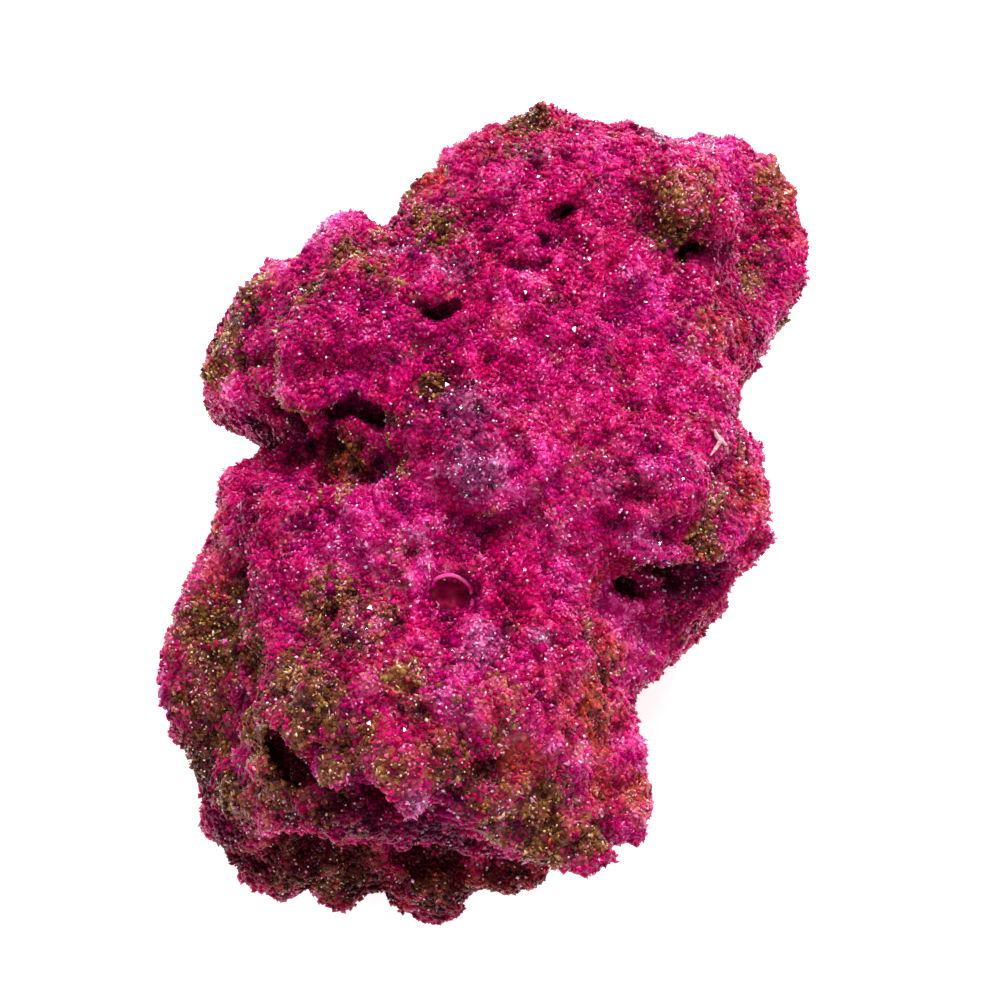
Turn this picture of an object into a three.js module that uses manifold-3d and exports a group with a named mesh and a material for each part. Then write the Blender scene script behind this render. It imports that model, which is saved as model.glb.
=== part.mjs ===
// A hand-sized ruby specimen: one mass of small ruby-red crystals that grew together.
// It lies on its broad back with its best face up. Units are millimetres, +X runs across
// the specimen, +Y runs along it and +Z points up from the surface that it rests on.
// The origin is under the middle of the specimen, on that surface.

import * as THREE from 'three';
import { ImprovedNoise } from 'three/addons/math/ImprovedNoise.js';
import { mergeVertices } from 'three/addons/utils/BufferGeometryUtils.js';
import Module from 'manifold-3d';

// ---------------------------------------------------------------- driving dimensions

// General height of the front above the resting surface, before its swells and slopes.
const FRONT_HEIGHT = 48;

// General height of the underside before the resting flat is cut.
const BACK_HEIGHT = -3;

// How square the sides are: 1 is an ellipsoid, 0 would be a wall.
const FRONT_ROUNDNESS = 0.56;
const BACK_ROUNDNESS = 0.8;

// Lumps over the whole mass: size across, height, and where the pattern is sampled.
const LUMPS = [
  { across: 15, height: 2.3, seed: 11.3 },
  { across: 6.5, height: 1.1, seed: 47.9 },
  { across: 3.2, height: 0.45, seed: 83.1 },
];

// Share of the lumps that is left at the rim, which has its own outline.
const RIM_LUMPINESS = 0.75;

// Fineness of the faceted solids (how often each edge of an icosahedron is split).
const MASS_DETAIL = 13;
const LOBE_DETAIL = 2;
const HOLLOW_DETAIL = 2;

// Share of the lumps that roughens the lobes and the walls of the hollows.
const LOBE_ROUGHNESS = 0.9;
const HOLLOW_ROUGHNESS = 0.45;

// The rim is the widest line round the mass. [x, y, height above the resting surface],
// anticlockwise from the right-hand side.
const RIM = [
  [39.6, -1.5, 32],
  [40.4, 6.5, 30],
  [37.4, 12, 28],
  [37.6, 17.5, 26],
  [42.6, 23.5, 24],
  [47.6, 30, 24],
  [49.3, 38.5, 24],
  [49.2, 46, 24],
  [46.2, 52.8, 24],
  [39.4, 56.4, 24],
  [31.3, 55.2, 26],
  [23.6, 55.9, 30],
  [17.3, 57.6, 33],
  [12, 59.2, 34],
  [7.2, 59.2, 34],
  [3.1, 58.1, 34],
  [-1.4, 56, 33],
  [-7.3, 51.8, 32],
  [-10.7, 45, 32],
  [-14.4, 38.9, 30],
  [-19.6, 40.5, 28],
  [-23.3, 39, 28],
  [-27.6, 35, 28],
  [-35.2, 31.4, 28],
  [-40, 26, 28],
  [-42.4, 20.5, 28],
  [-39.2, 14.4, 28],
  [-34.6, 9.8, 30],
  [-31.8, 6.8, 30],
  [-37.2, 2.9, 28],
  [-39.3, -3.3, 28],
  [-40.6, -8.5, 28],
  [-43.2, -14.3, 28],
  [-44.4, -20, 28],
  [-47.6, -25.2, 26],
  [-46.8, -30, 26],
  [-43.2, -36.4, 25],
  [-41.2, -42.4, 25],
  [-38.2, -47, 28],
  [-31, -49.5, 33],
  [-24, -50.5, 36],
  [-17, -51.5, 37],
  [-10, -52, 38],
  [-2, -52, 38],
  [6, -52.5, 38],
  [13.5, -53.2, 36],
  [20, -51.2, 32],
  [23.4, -47.8, 30],
  [22.8, -40.5, 30],
  [20.3, -34.5, 30],
  [20.2, -29.9, 30],
  [22.6, -26.2, 30],
  [26.9, -22.5, 30],
  [32, -17.5, 30],
  [35.6, -12.9, 32],
  [39.2, -7.8, 34],
];

// Broad swells (positive) and slopes (negative) of the front face.
// across and along are the half sizes, turn is anticlockwise in degrees.
const FRONT_RELIEF = [
  { name: 'foot crest', x: -14, y: -37, across: 26, along: 14, turn: -4, height: 8 },
  { name: 'middle swell', x: 10, y: 2, across: 27, along: 24, turn: 0, height: 4 },
  { name: 'clear boss', x: -2, y: -1.7, across: 6, along: 6, turn: 0, height: 2 },
  { name: 'left shoulder swell', x: -23, y: 22, across: 15, along: 12, turn: 25, height: 3 },
  { name: 'upper swell', x: 8, y: 36, across: 20, along: 14, turn: 0, height: 3 },
  { name: 'right rear slope', x: 44, y: 38, across: 13, along: 27, turn: -8, height: -19 },
  { name: 'top edge slope', x: 5, y: 59, across: 24, along: 13, turn: 0, height: -8 },
  { name: 'left shoulder slope', x: -42, y: 22, across: 15, along: 18, turn: 0, height: -9 },
  { name: 'valley from the left notch', x: -27, y: 3, across: 18, along: 5, turn: -14, height: -5 },
  { name: 'left flank slope', x: -44, y: -17, across: 15, along: 30, turn: 4, height: -16 },
  { name: 'left foot slope', x: -40, y: -43, across: 13, along: 18, turn: 0, height: -8 },
  { name: 'right flank slope', x: 30, y: -29, across: 14, along: 14, turn: 35, height: -11 },
  { name: 'right foot slope', x: 23, y: -43, across: 13, along: 18, turn: 0, height: -12 },
  { name: 'right edge slope', x: 41, y: 6, across: 10, along: 16, turn: 0, height: -9 },
];

// Steps in the front face. The face drops on the right-hand side of the line from one end
// to the other, over the run, and has come back after the reach.
const FRONT_STEPS = [
  { name: 'right ledge', from: [15, -13.5], to: [40, -11], drop: 8, run: 2.5, reach: 16 },
  { name: 'shoulder step', from: [-36, 8.5], to: [-14, 4.5], drop: 5, run: 2.5, reach: 12 },
];

// Lumps grown on to the mass that overhang what lies under them. at is the place seen from
// above and radii are half sizes. The middle is rise above the mass there, or at the level
// above the resting surface.
const LOBES = [
  { name: 'upper boss', at: [28.4, 39.8], rise: -4.5, radii: [8.4, 8, 9.5], tilt: [0, 0, 0] },
  { name: 'finger on the foot', at: [-11.6, -42], rise: -0.8, radii: [2.9, 6, 3.6], tilt: [8, 0, 22] },
  { name: 'left lip of the foot', at: [-30, -46.5], rise: -1.5, radii: [6, 3.2, 4], tilt: [0, 0, -18] },
  { name: 'tooth of the foot', at: [-11.5, -51], level: 37, radii: [2.8, 3, 3.4], tilt: [0, 0, 0] },
  { name: 'right lip of the foot', at: [9, -52], level: 37.5, radii: [10, 2.6, 3], tilt: [0, 6, -8] },
  { name: 'dark nub', at: [39.2, -8], level: 35, radii: [1.8, 1.5, 2.2], tilt: [0, 0, 0] },
  { name: 'top spur', at: [7.4, 57.2], level: 35, radii: [2.2, 2, 3.4], tilt: [0, 0, 0] },
  { name: 'heel', at: [-15, -39], level: 14, radii: [24, 16, 12], tilt: [0, 0, 0] },
  { name: 'heel lump 1', at: [-35.6, -44], level: 19, radii: [7, 8, 10], tilt: [0, 0, 30] },
  { name: 'heel lump 2', at: [-29, -47.3], level: 14, radii: [9.5, 8.6, 8.5], tilt: [0, 0, 0] },
  { name: 'heel lump 3', at: [-20, -48.6], level: 11.5, radii: [7, 10.8, 8], tilt: [0, 0, -12] },
  { name: 'heel lump 4', at: [-9, -48], level: 13.5, radii: [10, 11, 9], tilt: [0, 10, 0] },
  { name: 'heel lump 5', at: [2, -47.6], level: 17.5, radii: [8, 8, 11], tilt: [0, 0, -25] },
];

// Vugs, pits and undercuts, each an uneven ellipsoid taken out of the mass. A positive
// first tilt leads it in under the rock on its +Y side.
const HOLLOWS = [
  { name: 'upper pit', at: [11.3, 37.4], rise: -2, radii: [2.2, 2.2, 7], tilt: [22, 0, 0] },
  { name: 'upper side pit', at: [8.7, 33], rise: -1.2, radii: [3, 1.7, 4.5], tilt: [22, 0, 30] },
  { name: 'third upper pit', at: [5.3, 28], rise: -0.8, radii: [2.2, 1.6, 3.5], tilt: [22, 0, 0] },
  { name: 'pit under the boss', at: [28.6, 33.4], rise: -2, radii: [3.4, 2.4, 7.5], tilt: [32, 0, 0] },
  { name: 'shoulder pit', at: [-6.7, 22.4], rise: -2, radii: [2.5, 2.1, 6], tilt: [22, 0, 0] },
  { name: 'shoulder undercut', at: [-18.5, 9.4], rise: -2.5, radii: [6.4, 2.6, 7], tilt: [42, 0, -14] },
  { name: 'notch undercut', at: [-31, 9.4], rise: -2.5, radii: [5.5, 2.6, 6], tilt: [40, 0, -6] },
  { name: 'middle hollow', at: [-0.2, -9.4], rise: -0.8, radii: [4.6, 2.3, 4.2], tilt: [24, 0, -8] },
  { name: 'ring crater', at: [-5.2, -18], rise: -1, radii: [2.9, 2.9, 4], tilt: [14, 0, 0] },
  { name: 'ledge hollow', at: [18.8, -15.4], rise: -1, radii: [3, 2.6, 8.5], tilt: [34, 0, 0] },
  { name: 'ledge groove', at: [29, -13.2], rise: -0.5, radii: [8.5, 2.4, 6], tilt: [42, 6, 5] },
  { name: 'foot hollow', at: [-26, -41], rise: -2.5, radii: [5, 3.8, 9], tilt: [30, 0, -25] },
  { name: 'small foot hollow', at: [-14.9, -45.4], rise: -1.5, radii: [2.4, 2.1, 6], tilt: [28, 0, 0] },
  { name: 'left recess of the foot', at: [-27, -57], level: 27, radii: [12, 10, 5], tilt: [8, 6, 4] },
  { name: 'middle recess of the foot', at: [-10, -58], level: 28, radii: [12, 11, 5.5], tilt: [8, -3, 0] },
  { name: 'right recess of the foot', at: [6, -58], level: 29.5, radii: [10, 10, 4.5], tilt: [8, -6, 10] },
  { name: 'hollow in the right side', at: [40, 11], level: 17, radii: [5, 5, 4.5], tilt: [0, 0, 0] },
  { name: 'hollow in the left side', at: [-42, -6], level: 14, radii: [5, 5.5, 4], tilt: [0, 0, 0] },
  { name: 'hollow in the top side', at: [2, 56], level: 17, radii: [5.5, 5, 4.5], tilt: [0, 0, 0] },
  { name: 'hollow in the right foot', at: [23, -38], level: 15, radii: [5, 5.5, 4.5], tilt: [0, 0, 0] },
];

// ---------------------------------------------------------------- fields

const perlin = new ImprovedNoise();

function lumpiness(x, y, z) {
  let height = 0;
  for (const lump of LUMPS) {
    const at = [x, y, z].map((value) => value / lump.across + lump.seed);
    height += lump.height * perlin.noise(at[0], at[1], at[2]) * 2;
  }
  return height;
}

// A round hill of height 1 that ends softly at the edge of its ellipse.
function hill(bump, x, y) {
  const turn = THREE.MathUtils.degToRad(bump.turn);
  const dx = x - bump.x;
  const dy = y - bump.y;
  const a = (dx * Math.cos(turn) + dy * Math.sin(turn)) / bump.across;
  const b = (dy * Math.cos(turn) - dx * Math.sin(turn)) / bump.along;
  const inside = Math.max(0, 1 - a * a - b * b);
  return inside * inside * (3 - 2 * inside);
}

// How much of a step's drop is felt at a place.
function stepShare(step, x, y) {
  const [x0, y0] = step.from;
  const [x1, y1] = step.to;
  const length = Math.hypot(x1 - x0, y1 - y0);
  const along = ((x - x0) * (x1 - x0) + (y - y0) * (y1 - y0)) / length;
  const off = ((x - x0) * (y1 - y0) - (y - y0) * (x1 - x0)) / length;
  const smooth = THREE.MathUtils.smoothstep;
  const ends = smooth(along, -2, 3) * (1 - smooth(along, length, length + 6));
  return ends * smooth(off, 0, step.run) * (1 - smooth(off, step.reach / 2, step.reach));
}

function frontHeight(x, y) {
  let height = FRONT_HEIGHT;
  for (const bump of FRONT_RELIEF) {
    height += bump.height * hill(bump, x, y);
  }
  for (const step of FRONT_STEPS) {
    height -= step.drop * stepShare(step, x, y);
  }
  return height;
}

// ---------------------------------------------------------------- the rim

// Gives the distance and the height of the rim in any direction from the middle.
function makeRim(points) {
  const curve = new THREE.CatmullRomCurve3(
    points.map(([x, y, z]) => new THREE.Vector3(x, y, z)), true, 'centripetal');
  const steps = points.length * 8;
  const stations = curve.getPoints(steps).slice(0, steps).map((p) => (
    { angle: Math.atan2(p.y, p.x), distance: Math.hypot(p.x, p.y), height: p.z }));
  stations.sort((a, b) => a.angle - b.angle);
  const last = stations[stations.length - 1];
  const first = stations[0];
  stations.unshift({ ...last, angle: last.angle - 2 * Math.PI });
  stations.push({ ...first, angle: first.angle + 2 * Math.PI });
  return (angle) => {
    const next = stations.findIndex((station) => station.angle > angle);
    const a = stations[next - 1];
    const b = stations[next];
    const t = (angle - a.angle) / (b.angle - a.angle);
    return {
      distance: THREE.MathUtils.lerp(a.distance, b.distance, t),
      height: THREE.MathUtils.lerp(a.height, b.height, t),
    };
  };
}

// ---------------------------------------------------------------- closed shells

// An icosahedron split into small triangles, on the unit sphere, with shared vertices.
function unitBall(detail) {
  const ball = new THREE.IcosahedronGeometry(1, detail);
  ball.deleteAttribute('normal');
  ball.deleteAttribute('uv');
  return mergeVertices(ball, 1e-5);
}

// Moves every vertex along its own normal by the lumpiness there, times amount(i).
function roughen(geometry, amount) {
  geometry.computeVertexNormals();
  const position = geometry.attributes.position;
  const normal = geometry.attributes.normal;
  for (let i = 0; i < position.count; i++) {
    const p = new THREE.Vector3().fromBufferAttribute(position, i);
    const n = new THREE.Vector3().fromBufferAttribute(normal, i);
    p.addScaledVector(n, amount(i) * lumpiness(p.x, p.y, p.z));
    position.setXYZ(i, p.x, p.y, p.z);
  }
  geometry.deleteAttribute('normal');
  return geometry;
}

// The main mass: a pillow whose edge follows the rim and whose top follows the front.
function makeMass() {
  const geometry = unitBall(MASS_DETAIL);
  const position = geometry.attributes.position;
  const rimAt = makeRim(RIM);
  const steepness = [];
  for (let i = 0; i < position.count; i++) {
    const p = new THREE.Vector3().fromBufferAttribute(position, i);
    steepness.push(Math.hypot(p.x, p.y));
    const angle = Math.atan2(p.y, p.x);
    const rim = rimAt(angle);
    const reach = Math.hypot(p.x, p.y) * rim.distance;
    const x = reach * Math.cos(angle);
    const y = reach * Math.sin(angle);
    const z = p.z >= 0
      ? rim.height + (frontHeight(x, y) - rim.height) * Math.pow(p.z, FRONT_ROUNDNESS)
      : rim.height + (BACK_HEIGHT - rim.height) * Math.pow(-p.z, BACK_ROUNDNESS);
    position.setXYZ(i, x, y, z);
  }
  return roughen(geometry, (i) => THREE.MathUtils.lerp(1, RIM_LUMPINESS, steepness[i] ** 4));
}

// The height of the mass straight under or over a place seen from above.
function heightOf(mass, x, y) {
  const ray = new THREE.Raycaster(new THREE.Vector3(x, y, 100), new THREE.Vector3(0, 0, -1));
  const hits = ray.intersectObject(mass);
  if (hits.length === 0) {
    throw new Error(`nothing lies at ${x}, ${y}`);
  }
  return hits[0].point.z;
}

// An uneven ellipsoid, for a lobe or for the space of a hollow.
function makeLump({ at, rise, level, radii, tilt }, mass, detail, roughness) {
  const height = level ?? heightOf(mass, at[0], at[1]) + rise;
  const geometry = unitBall(detail);
  geometry.scale(...radii);
  const [tiltX, tiltY, tiltZ] = tilt.map(THREE.MathUtils.degToRad);
  geometry.rotateX(tiltX);
  geometry.rotateY(tiltY);
  geometry.rotateZ(tiltZ);
  geometry.translate(at[0], at[1], height);
  return roughen(geometry, () => roughness);
}

// ---------------------------------------------------------------- joining and cutting

const wasm = await Module();
wasm.setup();

function toSolid(geometry) {
  return new wasm.Manifold(new wasm.Mesh({
    numProp: 3,
    vertProperties: new Float32Array(geometry.attributes.position.array),
    triVerts: new Uint32Array(geometry.index.array),
  }));
}

function toGeometry(solid) {
  const mesh = solid.getMesh();
  const geometry = new THREE.BufferGeometry();
  geometry.setAttribute('position', new THREE.BufferAttribute(mesh.vertProperties, mesh.numProp));
  geometry.setIndex(new THREE.BufferAttribute(mesh.triVerts, 1));
  return geometry;
}

// Everything below the resting surface, to be cut away.
function makeGround() {
  const ground = new THREE.BoxGeometry(200, 200, 20);
  ground.deleteAttribute('normal');
  ground.deleteAttribute('uv');
  ground.translate(0, 0, -10);
  return mergeVertices(ground);
}

function makeSpecimen() {
  const massGeometry = makeMass();
  const mass = new THREE.Mesh(massGeometry);
  let solid = toSolid(massGeometry);
  for (const lobe of LOBES) {
    solid = solid.add(toSolid(makeLump(lobe, mass, LOBE_DETAIL, LOBE_ROUGHNESS)));
  }
  for (const hollow of HOLLOWS) {
    solid = solid.subtract(toSolid(makeLump(hollow, mass, HOLLOW_DETAIL, HOLLOW_ROUGHNESS)));
  }
  solid = solid.subtract(toSolid(makeGround()));
  const geometry = toGeometry(solid);
  geometry.computeBoundingBox();
  const middle = geometry.boundingBox.getCenter(new THREE.Vector3());
  geometry.translate(-middle.x, -middle.y, -geometry.boundingBox.min.z);
  return geometry;
}

// ---------------------------------------------------------------- the specimen

const rubyDruse = new THREE.MeshStandardMaterial({ color: 0xb41a5b, roughness: 0.3, metalness: 0 });

const specimen = new THREE.Mesh(makeSpecimen(), rubyDruse);
specimen.name = 'ruby_specimen';

const group = new THREE.Group();
group.add(specimen);

export default group;
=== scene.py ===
"""A ruby specimen: a mass of small ruby-red crystals grown together, lying on its back.

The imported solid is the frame. The rock here is a finer skin of that solid, and the druse on it
is some fifty thousand small crystals, made as meshes. Lengths are in metres, +Z is up.
"""

import math

import bmesh
import bpy
import numpy as np
from mathutils import Matrix, Vector
from mathutils.bvhtree import BVHTree


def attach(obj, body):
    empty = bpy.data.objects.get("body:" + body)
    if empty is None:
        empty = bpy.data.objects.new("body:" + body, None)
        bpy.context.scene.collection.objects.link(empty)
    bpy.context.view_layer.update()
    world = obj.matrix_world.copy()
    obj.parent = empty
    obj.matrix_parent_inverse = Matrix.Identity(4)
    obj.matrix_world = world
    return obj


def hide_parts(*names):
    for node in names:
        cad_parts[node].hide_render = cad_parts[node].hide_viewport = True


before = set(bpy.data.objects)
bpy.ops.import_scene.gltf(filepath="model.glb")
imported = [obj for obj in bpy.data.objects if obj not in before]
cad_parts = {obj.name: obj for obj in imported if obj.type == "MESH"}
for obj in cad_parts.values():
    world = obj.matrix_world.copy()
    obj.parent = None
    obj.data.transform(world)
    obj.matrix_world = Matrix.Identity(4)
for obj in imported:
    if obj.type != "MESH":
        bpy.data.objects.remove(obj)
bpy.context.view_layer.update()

MM = 0.001
NODE = "ruby_specimen"
BODY = "root"

# ------------------------------------------------------------------ camera

STEPS = 1000                # the square front view has this many steps each way
AIM = Vector((1.6, 0.4, 28)) * MM
ELEVATION = math.radians(76)
DISTANCE = 340 * MM
ACROSS = 147.4 * MM         # width of the front view at the aim
SENSOR = 36.0               # millimetres
NEAREST, FURTHEST = 10 * MM, 10

VIEW_BACK = Vector((0, -math.cos(ELEVATION), math.sin(ELEVATION)))
VIEW_RIGHT = Vector((1, 0, 0))
VIEW_UP = VIEW_BACK.cross(VIEW_RIGHT)
EYE = AIM + VIEW_BACK * DISTANCE


def add_camera():
    data = bpy.data.cameras.new("camera")
    data.sensor_width = SENSOR
    data.lens = SENSOR * DISTANCE / ACROSS
    data.clip_start = NEAREST
    data.clip_end = FURTHEST
    camera = bpy.data.objects.new("camera", data)
    turn = Matrix((VIEW_RIGHT, VIEW_UP, VIEW_BACK)).transposed()
    camera.matrix_world = Matrix.Translation(EYE) @ turn.to_4x4()
    link(camera)
    bpy.context.scene.camera = camera


def sight_line(u, v):
    """The direction from the eye through a place in the front view."""
    step = ACROSS / STEPS
    aside = VIEW_RIGHT * (u - STEPS / 2) * step
    above = VIEW_UP * (STEPS / 2 - v) * step
    return (AIM + aside + above - EYE).normalized()


# ------------------------------------------------------------------ places on the front

# A place (u, v) is so many steps across and down the front view.
# Each patch is (u, v, radius in millimetres, strength).
# Olive crusts are the druse's own colour; those along the lower back, at v 850 and more, partly
# also darken it as painted shade.
OLIVE_CRUSTS = [
    (530, 124, 6, 1), (520, 150, 4, 0.7), (772, 185, 5, 0.7), (745, 280, 5, 0.8),
    (782, 325, 5, 0.9), (790, 215, 3, 0.5), (235, 320, 5, 0.95), (215, 345, 5, 1),
    (225, 365, 4, 0.9), (245, 300, 4, 0.9), (210, 375, 3, 0.8), (345, 640, 5, 0.85),
    (385, 610, 4, 0.75), (320, 600, 4, 0.85), (350, 250, 4, 0.95), (375, 270, 3, 0.85),
    (388, 285, 3, 0.6), (300, 872, 8, 0.7), (430, 882, 8, 0.65), (365, 862, 5, 0.6),
    (345, 262, 4.5, 0.8), (372, 268, 3.5, 0.7), (215, 330, 5, 0.9), (222, 300, 4, 0.8),
    (290, 740, 5, 0.8), (330, 760, 5, 0.8), (260, 745, 5, 0.9), (300, 800, 4, 0.7),
    (420, 215, 4, 0.8), (385, 232, 3, 0.7), (510, 112, 3, 0.6), (760, 240, 4, 0.6),
    (350, 600, 3, 0.6), (560, 850, 4, 0.8), (223, 637, 10, 1), (200, 705, 7, 0.75),
    (205, 750, 7, 0.95), (225, 800, 7.5, 1), (182, 655, 4.5, 0.6), (250, 290, 4.8, 0.8),
    (228, 345, 6, 0.85), (308, 291, 3, 1), (208, 350, 4, 0.8), (350, 247, 5, 0.8),
    (432, 228, 6, 1), (408, 195, 3.2, 0.7), (385, 255, 2.6, 0.6), (452, 190, 3, 0.4),
    (434, 383, 3.6, 0.9), (338, 498, 3, 0.7), (345, 457, 5.2, 0.85), (402, 467, 3, 0.7),
    (340, 614, 7.5, 0.95), (328, 580, 3.5, 0.7), (372, 632, 4, 0.7), (262, 655, 6, 0.95),
    (295, 672, 6.5, 0.9), (312, 706, 7, 1), (252, 718, 6, 0.9), (402, 676, 4.8, 0.75),
    (352, 740, 6.5, 0.75), (392, 770, 5, 0.65), (275, 790, 6, 0.8), (330, 800, 5.5, 0.7),
    (375, 680, 3.5, 0.4), (525, 128, 6, 0.7), (575, 112, 3, 0.6), (545, 150, 4, 0.4),
    (665, 200, 6.2, 0.85), (672, 226, 5, 1), (706, 185, 4.6, 0.6), (698, 222, 3.5, 0.8),
    (648, 180, 3.5, 0.5), (768, 200, 5, 0.6), (780, 322, 5, 0.75), (752, 275, 4.6, 0.6),
    (770, 250, 4, 0.5), (712, 320, 5, 0.55), (688, 340, 3, 0.5), (742, 444, 4.2, 0.6),
    (716, 495, 5, 0.8), (704, 541, 4.5, 0.9), (744, 495, 4, 0.5), (690, 425, 2.5, 0.4),
    (655, 565, 3.5, 0.6), (602, 715, 6.5, 0.5), (590, 625, 4, 0.5), (598, 668, 5.5, 0.45),
    (452, 765, 6, 0.75), (485, 790, 6.5, 0.7), (430, 748, 3.5, 0.7), (500, 735, 4.5, 0.6),
    (540, 805, 6.5, 0.85), (500, 826, 5, 0.9), (545, 842, 5.5, 1), (592, 835, 4.5, 0.9),
    (555, 780, 3.5, 0.6), (420, 712, 4.5, 0.6), (460, 705, 3, 0.5), (500, 680, 3, 0.5),
    (350, 612, 4, 0.8), (640, 800, 4, 0.5), (340, 880, 7, 0.8), (505, 885, 6, 0.6),
    (225, 855, 6, 0.5), (245, 560, 5, 0.3), (215, 530, 4, 0.4), (300, 520, 3, 0.4),
    (285, 545, 2.5, 0.4), (650, 185, 3, 0.6),
]
CLEAR_PATCHES = [
    (442, 608, 1.2, 1), (485, 645, 4.6, 0.75), (459, 268, 3.6, 0.6), (414, 803, 2.8, 0.9),
    (473, 468, 5.4, 0.95), (470, 405, 5.6, 0.75), (395, 252, 2.8, 0.9), (352, 621, 4, 0.3),
    (450, 612, 2, 0.7), (600, 190, 2.4, 0.25), (628, 278, 3, 0.45), (640, 470, 5, 0.2),
    (543, 635, 2.6, 0.7), (608, 482, 2.8, 0.5), (565, 583, 2.2, 0.4), (662, 138, 4, 0.8),
    (250, 600, 3, 0.3), (650, 544, 3.6, 0.5), (690, 575, 4, 0.4), (430, 540, 3, 0.3),
    (300, 705, 2.4, 0.3), (700, 148, 4, 0.4), (440, 690, 3, 0.3), (250, 330, 2.6, 0.3),
    (580, 560, 2.4, 0.3), (510, 440, 3, 0.3), (318, 236, 4, 0.35), (690, 470, 3, 0.3),
    (260, 590, 2.4, 0.5),
]
# Rose patches are partly a paler pink and partly painted highlight: the pale haze on the upper
# edges and the bright flanks.
ROSE_AND_HIGHLIGHT_PATCHES = [
    (478, 512, 4.5, 1.2), (395, 697, 5, 0.9), (532, 742, 5, 0.9), (577, 787, 5, 0.8),
    (622, 742, 5, 0.6), (575, 520, 5, 0.6), (577, 700, 5, 0.6), (215, 560, 5, 0.9),
    (628, 645, 5, 1), (624, 700, 5, 0.8), (612, 605, 5, 1.2), (575, 472, 5, 1), (577, 560, 5, 0.7),
    (555, 470, 4, 0.6), (515, 500, 5, 0.7), (475, 505, 4, 0.5), (350, 555, 5.5, 0.9),
    (390, 560, 5, 1.3), (448, 570, 3, 1.1), (480, 600, 3, 1), (446, 626, 3, 0.8),
    (420, 598, 3, 1.1), (420, 560, 9.5, 0.9), (322, 228, 6, 1.8), (296, 248, 5, 1.8),
    (440, 158, 4, 1.2), (470, 138, 4, 1), (270, 270, 4, 1.2), (685, 142, 4, 1.6),
    (720, 146, 4, 1.2), (470, 600, 5, 0.4), (538, 652, 3, 1), (640, 285, 6, 0.7),
    (680, 370, 9, 0.6), (540, 440, 9, 0.5), (610, 150, 6.5, 0.7), (700, 152, 6, 0.9),
    (480, 160, 6, 0.5), (520, 283, 4.6, 1), (640, 640, 6, 0.5), (232, 400, 5, 0.9),
    (290, 385, 4, 0.6), (360, 498, 4.6, 0.9), (365, 430, 3, 0.5), (640, 548, 3.6, 0.6),
    (770, 160, 5, 0.5), (500, 790, 4, 0.7), (575, 760, 5, 0.5), (620, 770, 7, 0.7),
    (460, 700, 6, 0.6), (385, 640, 5, 0.5), (720, 480, 4, 0.3), (170, 675, 4, 0.6),
    (255, 790, 3.5, 0.4), (270, 835, 4, 0.5), (560, 250, 3, 0.6), (535, 255, 2.8, 0.8),
    (650, 180, 4, 0.2), (200, 590, 4.5, 0.5), (500, 330, 4, 0.5), (440, 540, 4, 0.5),
    (600, 600, 5, 0.6), (720, 150, 5, 0.7),
]
# Wine patches are partly a darker crimson and partly painted shade: under the lobe's overhang, in
# caves, under the ledge and the foot, and along the lower back.
WINE_AND_SHADE_PATCHES = [
    (535, 128, 6, 0.8), (560, 150, 8, 0.4), (450, 240, 6, 0.4), (330, 340, 8, 0.35),
    (268, 424, 4, 1.8), (330, 448, 4, 1.7), (345, 425, 5, 1.2), (340, 820, 5.5, 2.6),
    (380, 826, 5, 2.2), (300, 822, 4, 1.6), (420, 824, 4, 2.2), (212, 790, 5, 1.9),
    (440, 383, 5.5, 1.6), (440, 425, 5, 1.3), (485, 200, 6, 1), (755, 335, 5, 1.4),
    (305, 378, 4, 1), (622, 150, 5, 0.9), (300, 290, 5, 0.9), (380, 425, 5, 1.6),
    (395, 416, 4.5, 1.6), (250, 512, 5, 0.9), (255, 560, 5, 0.8), (465, 778, 5, 1.1),
    (452, 800, 4, 0.9), (205, 775, 5, 2.2), (485, 425, 4, 1), (345, 650, 5, 1.2),
    (345, 605, 5, 0.8), (395, 605, 4, 0.6), (350, 290, 5, 0.9), (305, 335, 5, 0.8),
    (265, 650, 6, 0.7), (262, 700, 6, 0.8), (170, 690, 5, 0.7), (215, 700, 6, 0.6),
    (485, 155, 5, 1), (712, 290, 5, 1), (667, 247, 4, 1), (577, 245, 4, 1), (487, 562, 4, 0.9),
    (560, 310, 5, 0.6), (410, 320, 4, 0.5), (665, 562, 4, 1), (228, 828, 4.5, 2),
    (430, 830, 5, 2.6), (460, 840, 4.5, 2.5), (405, 840, 4, 1.6), (490, 853, 3.5, 1.9),
    (766, 538, 1.6, 1.6), (475, 537, 5, 1), (553, 228, 6, 0.8), (500, 255, 4, 0.7),
    (440, 318, 4.5, 0.9), (450, 365, 4, 0.6), (370, 415, 6, 1), (270, 432, 6, 1.7),
    (305, 445, 5, 1.7), (285, 442, 4, 1.7), (628, 588, 5, 1.5), (685, 580, 7, 1.6),
    (690, 252, 5, 1.2), (650, 235, 4, 0.6), (297, 768, 6, 1.4), (393, 500, 3.5, 0.8),
    (245, 585, 7, 0.6), (420, 716, 3.5, 0.7), (600, 375, 4.5, 0.6), (650, 450, 4, 0.7),
    (617, 310, 4, 0.6), (490, 768, 4, 1.1), (720, 275, 6, 0.6), (250, 500, 6, 0.4),
    (390, 800, 4.5, 0.8), (300, 862, 9, 1.9), (380, 885, 10, 1.8), (450, 895, 9, 1.7),
    (520, 885, 8, 1.6), (240, 850, 7, 2.2), (430, 850, 6, 1.8), (350, 850, 6, 1.9),
    (500, 868, 5, 1.5), (450, 600, 4, 0.7), (540, 700, 4, 0.3), (740, 330, 6, 0.5),
    (700, 620, 5, 0.5), (610, 520, 3, 0.5), (655, 160, 3, 0.5),
]
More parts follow.
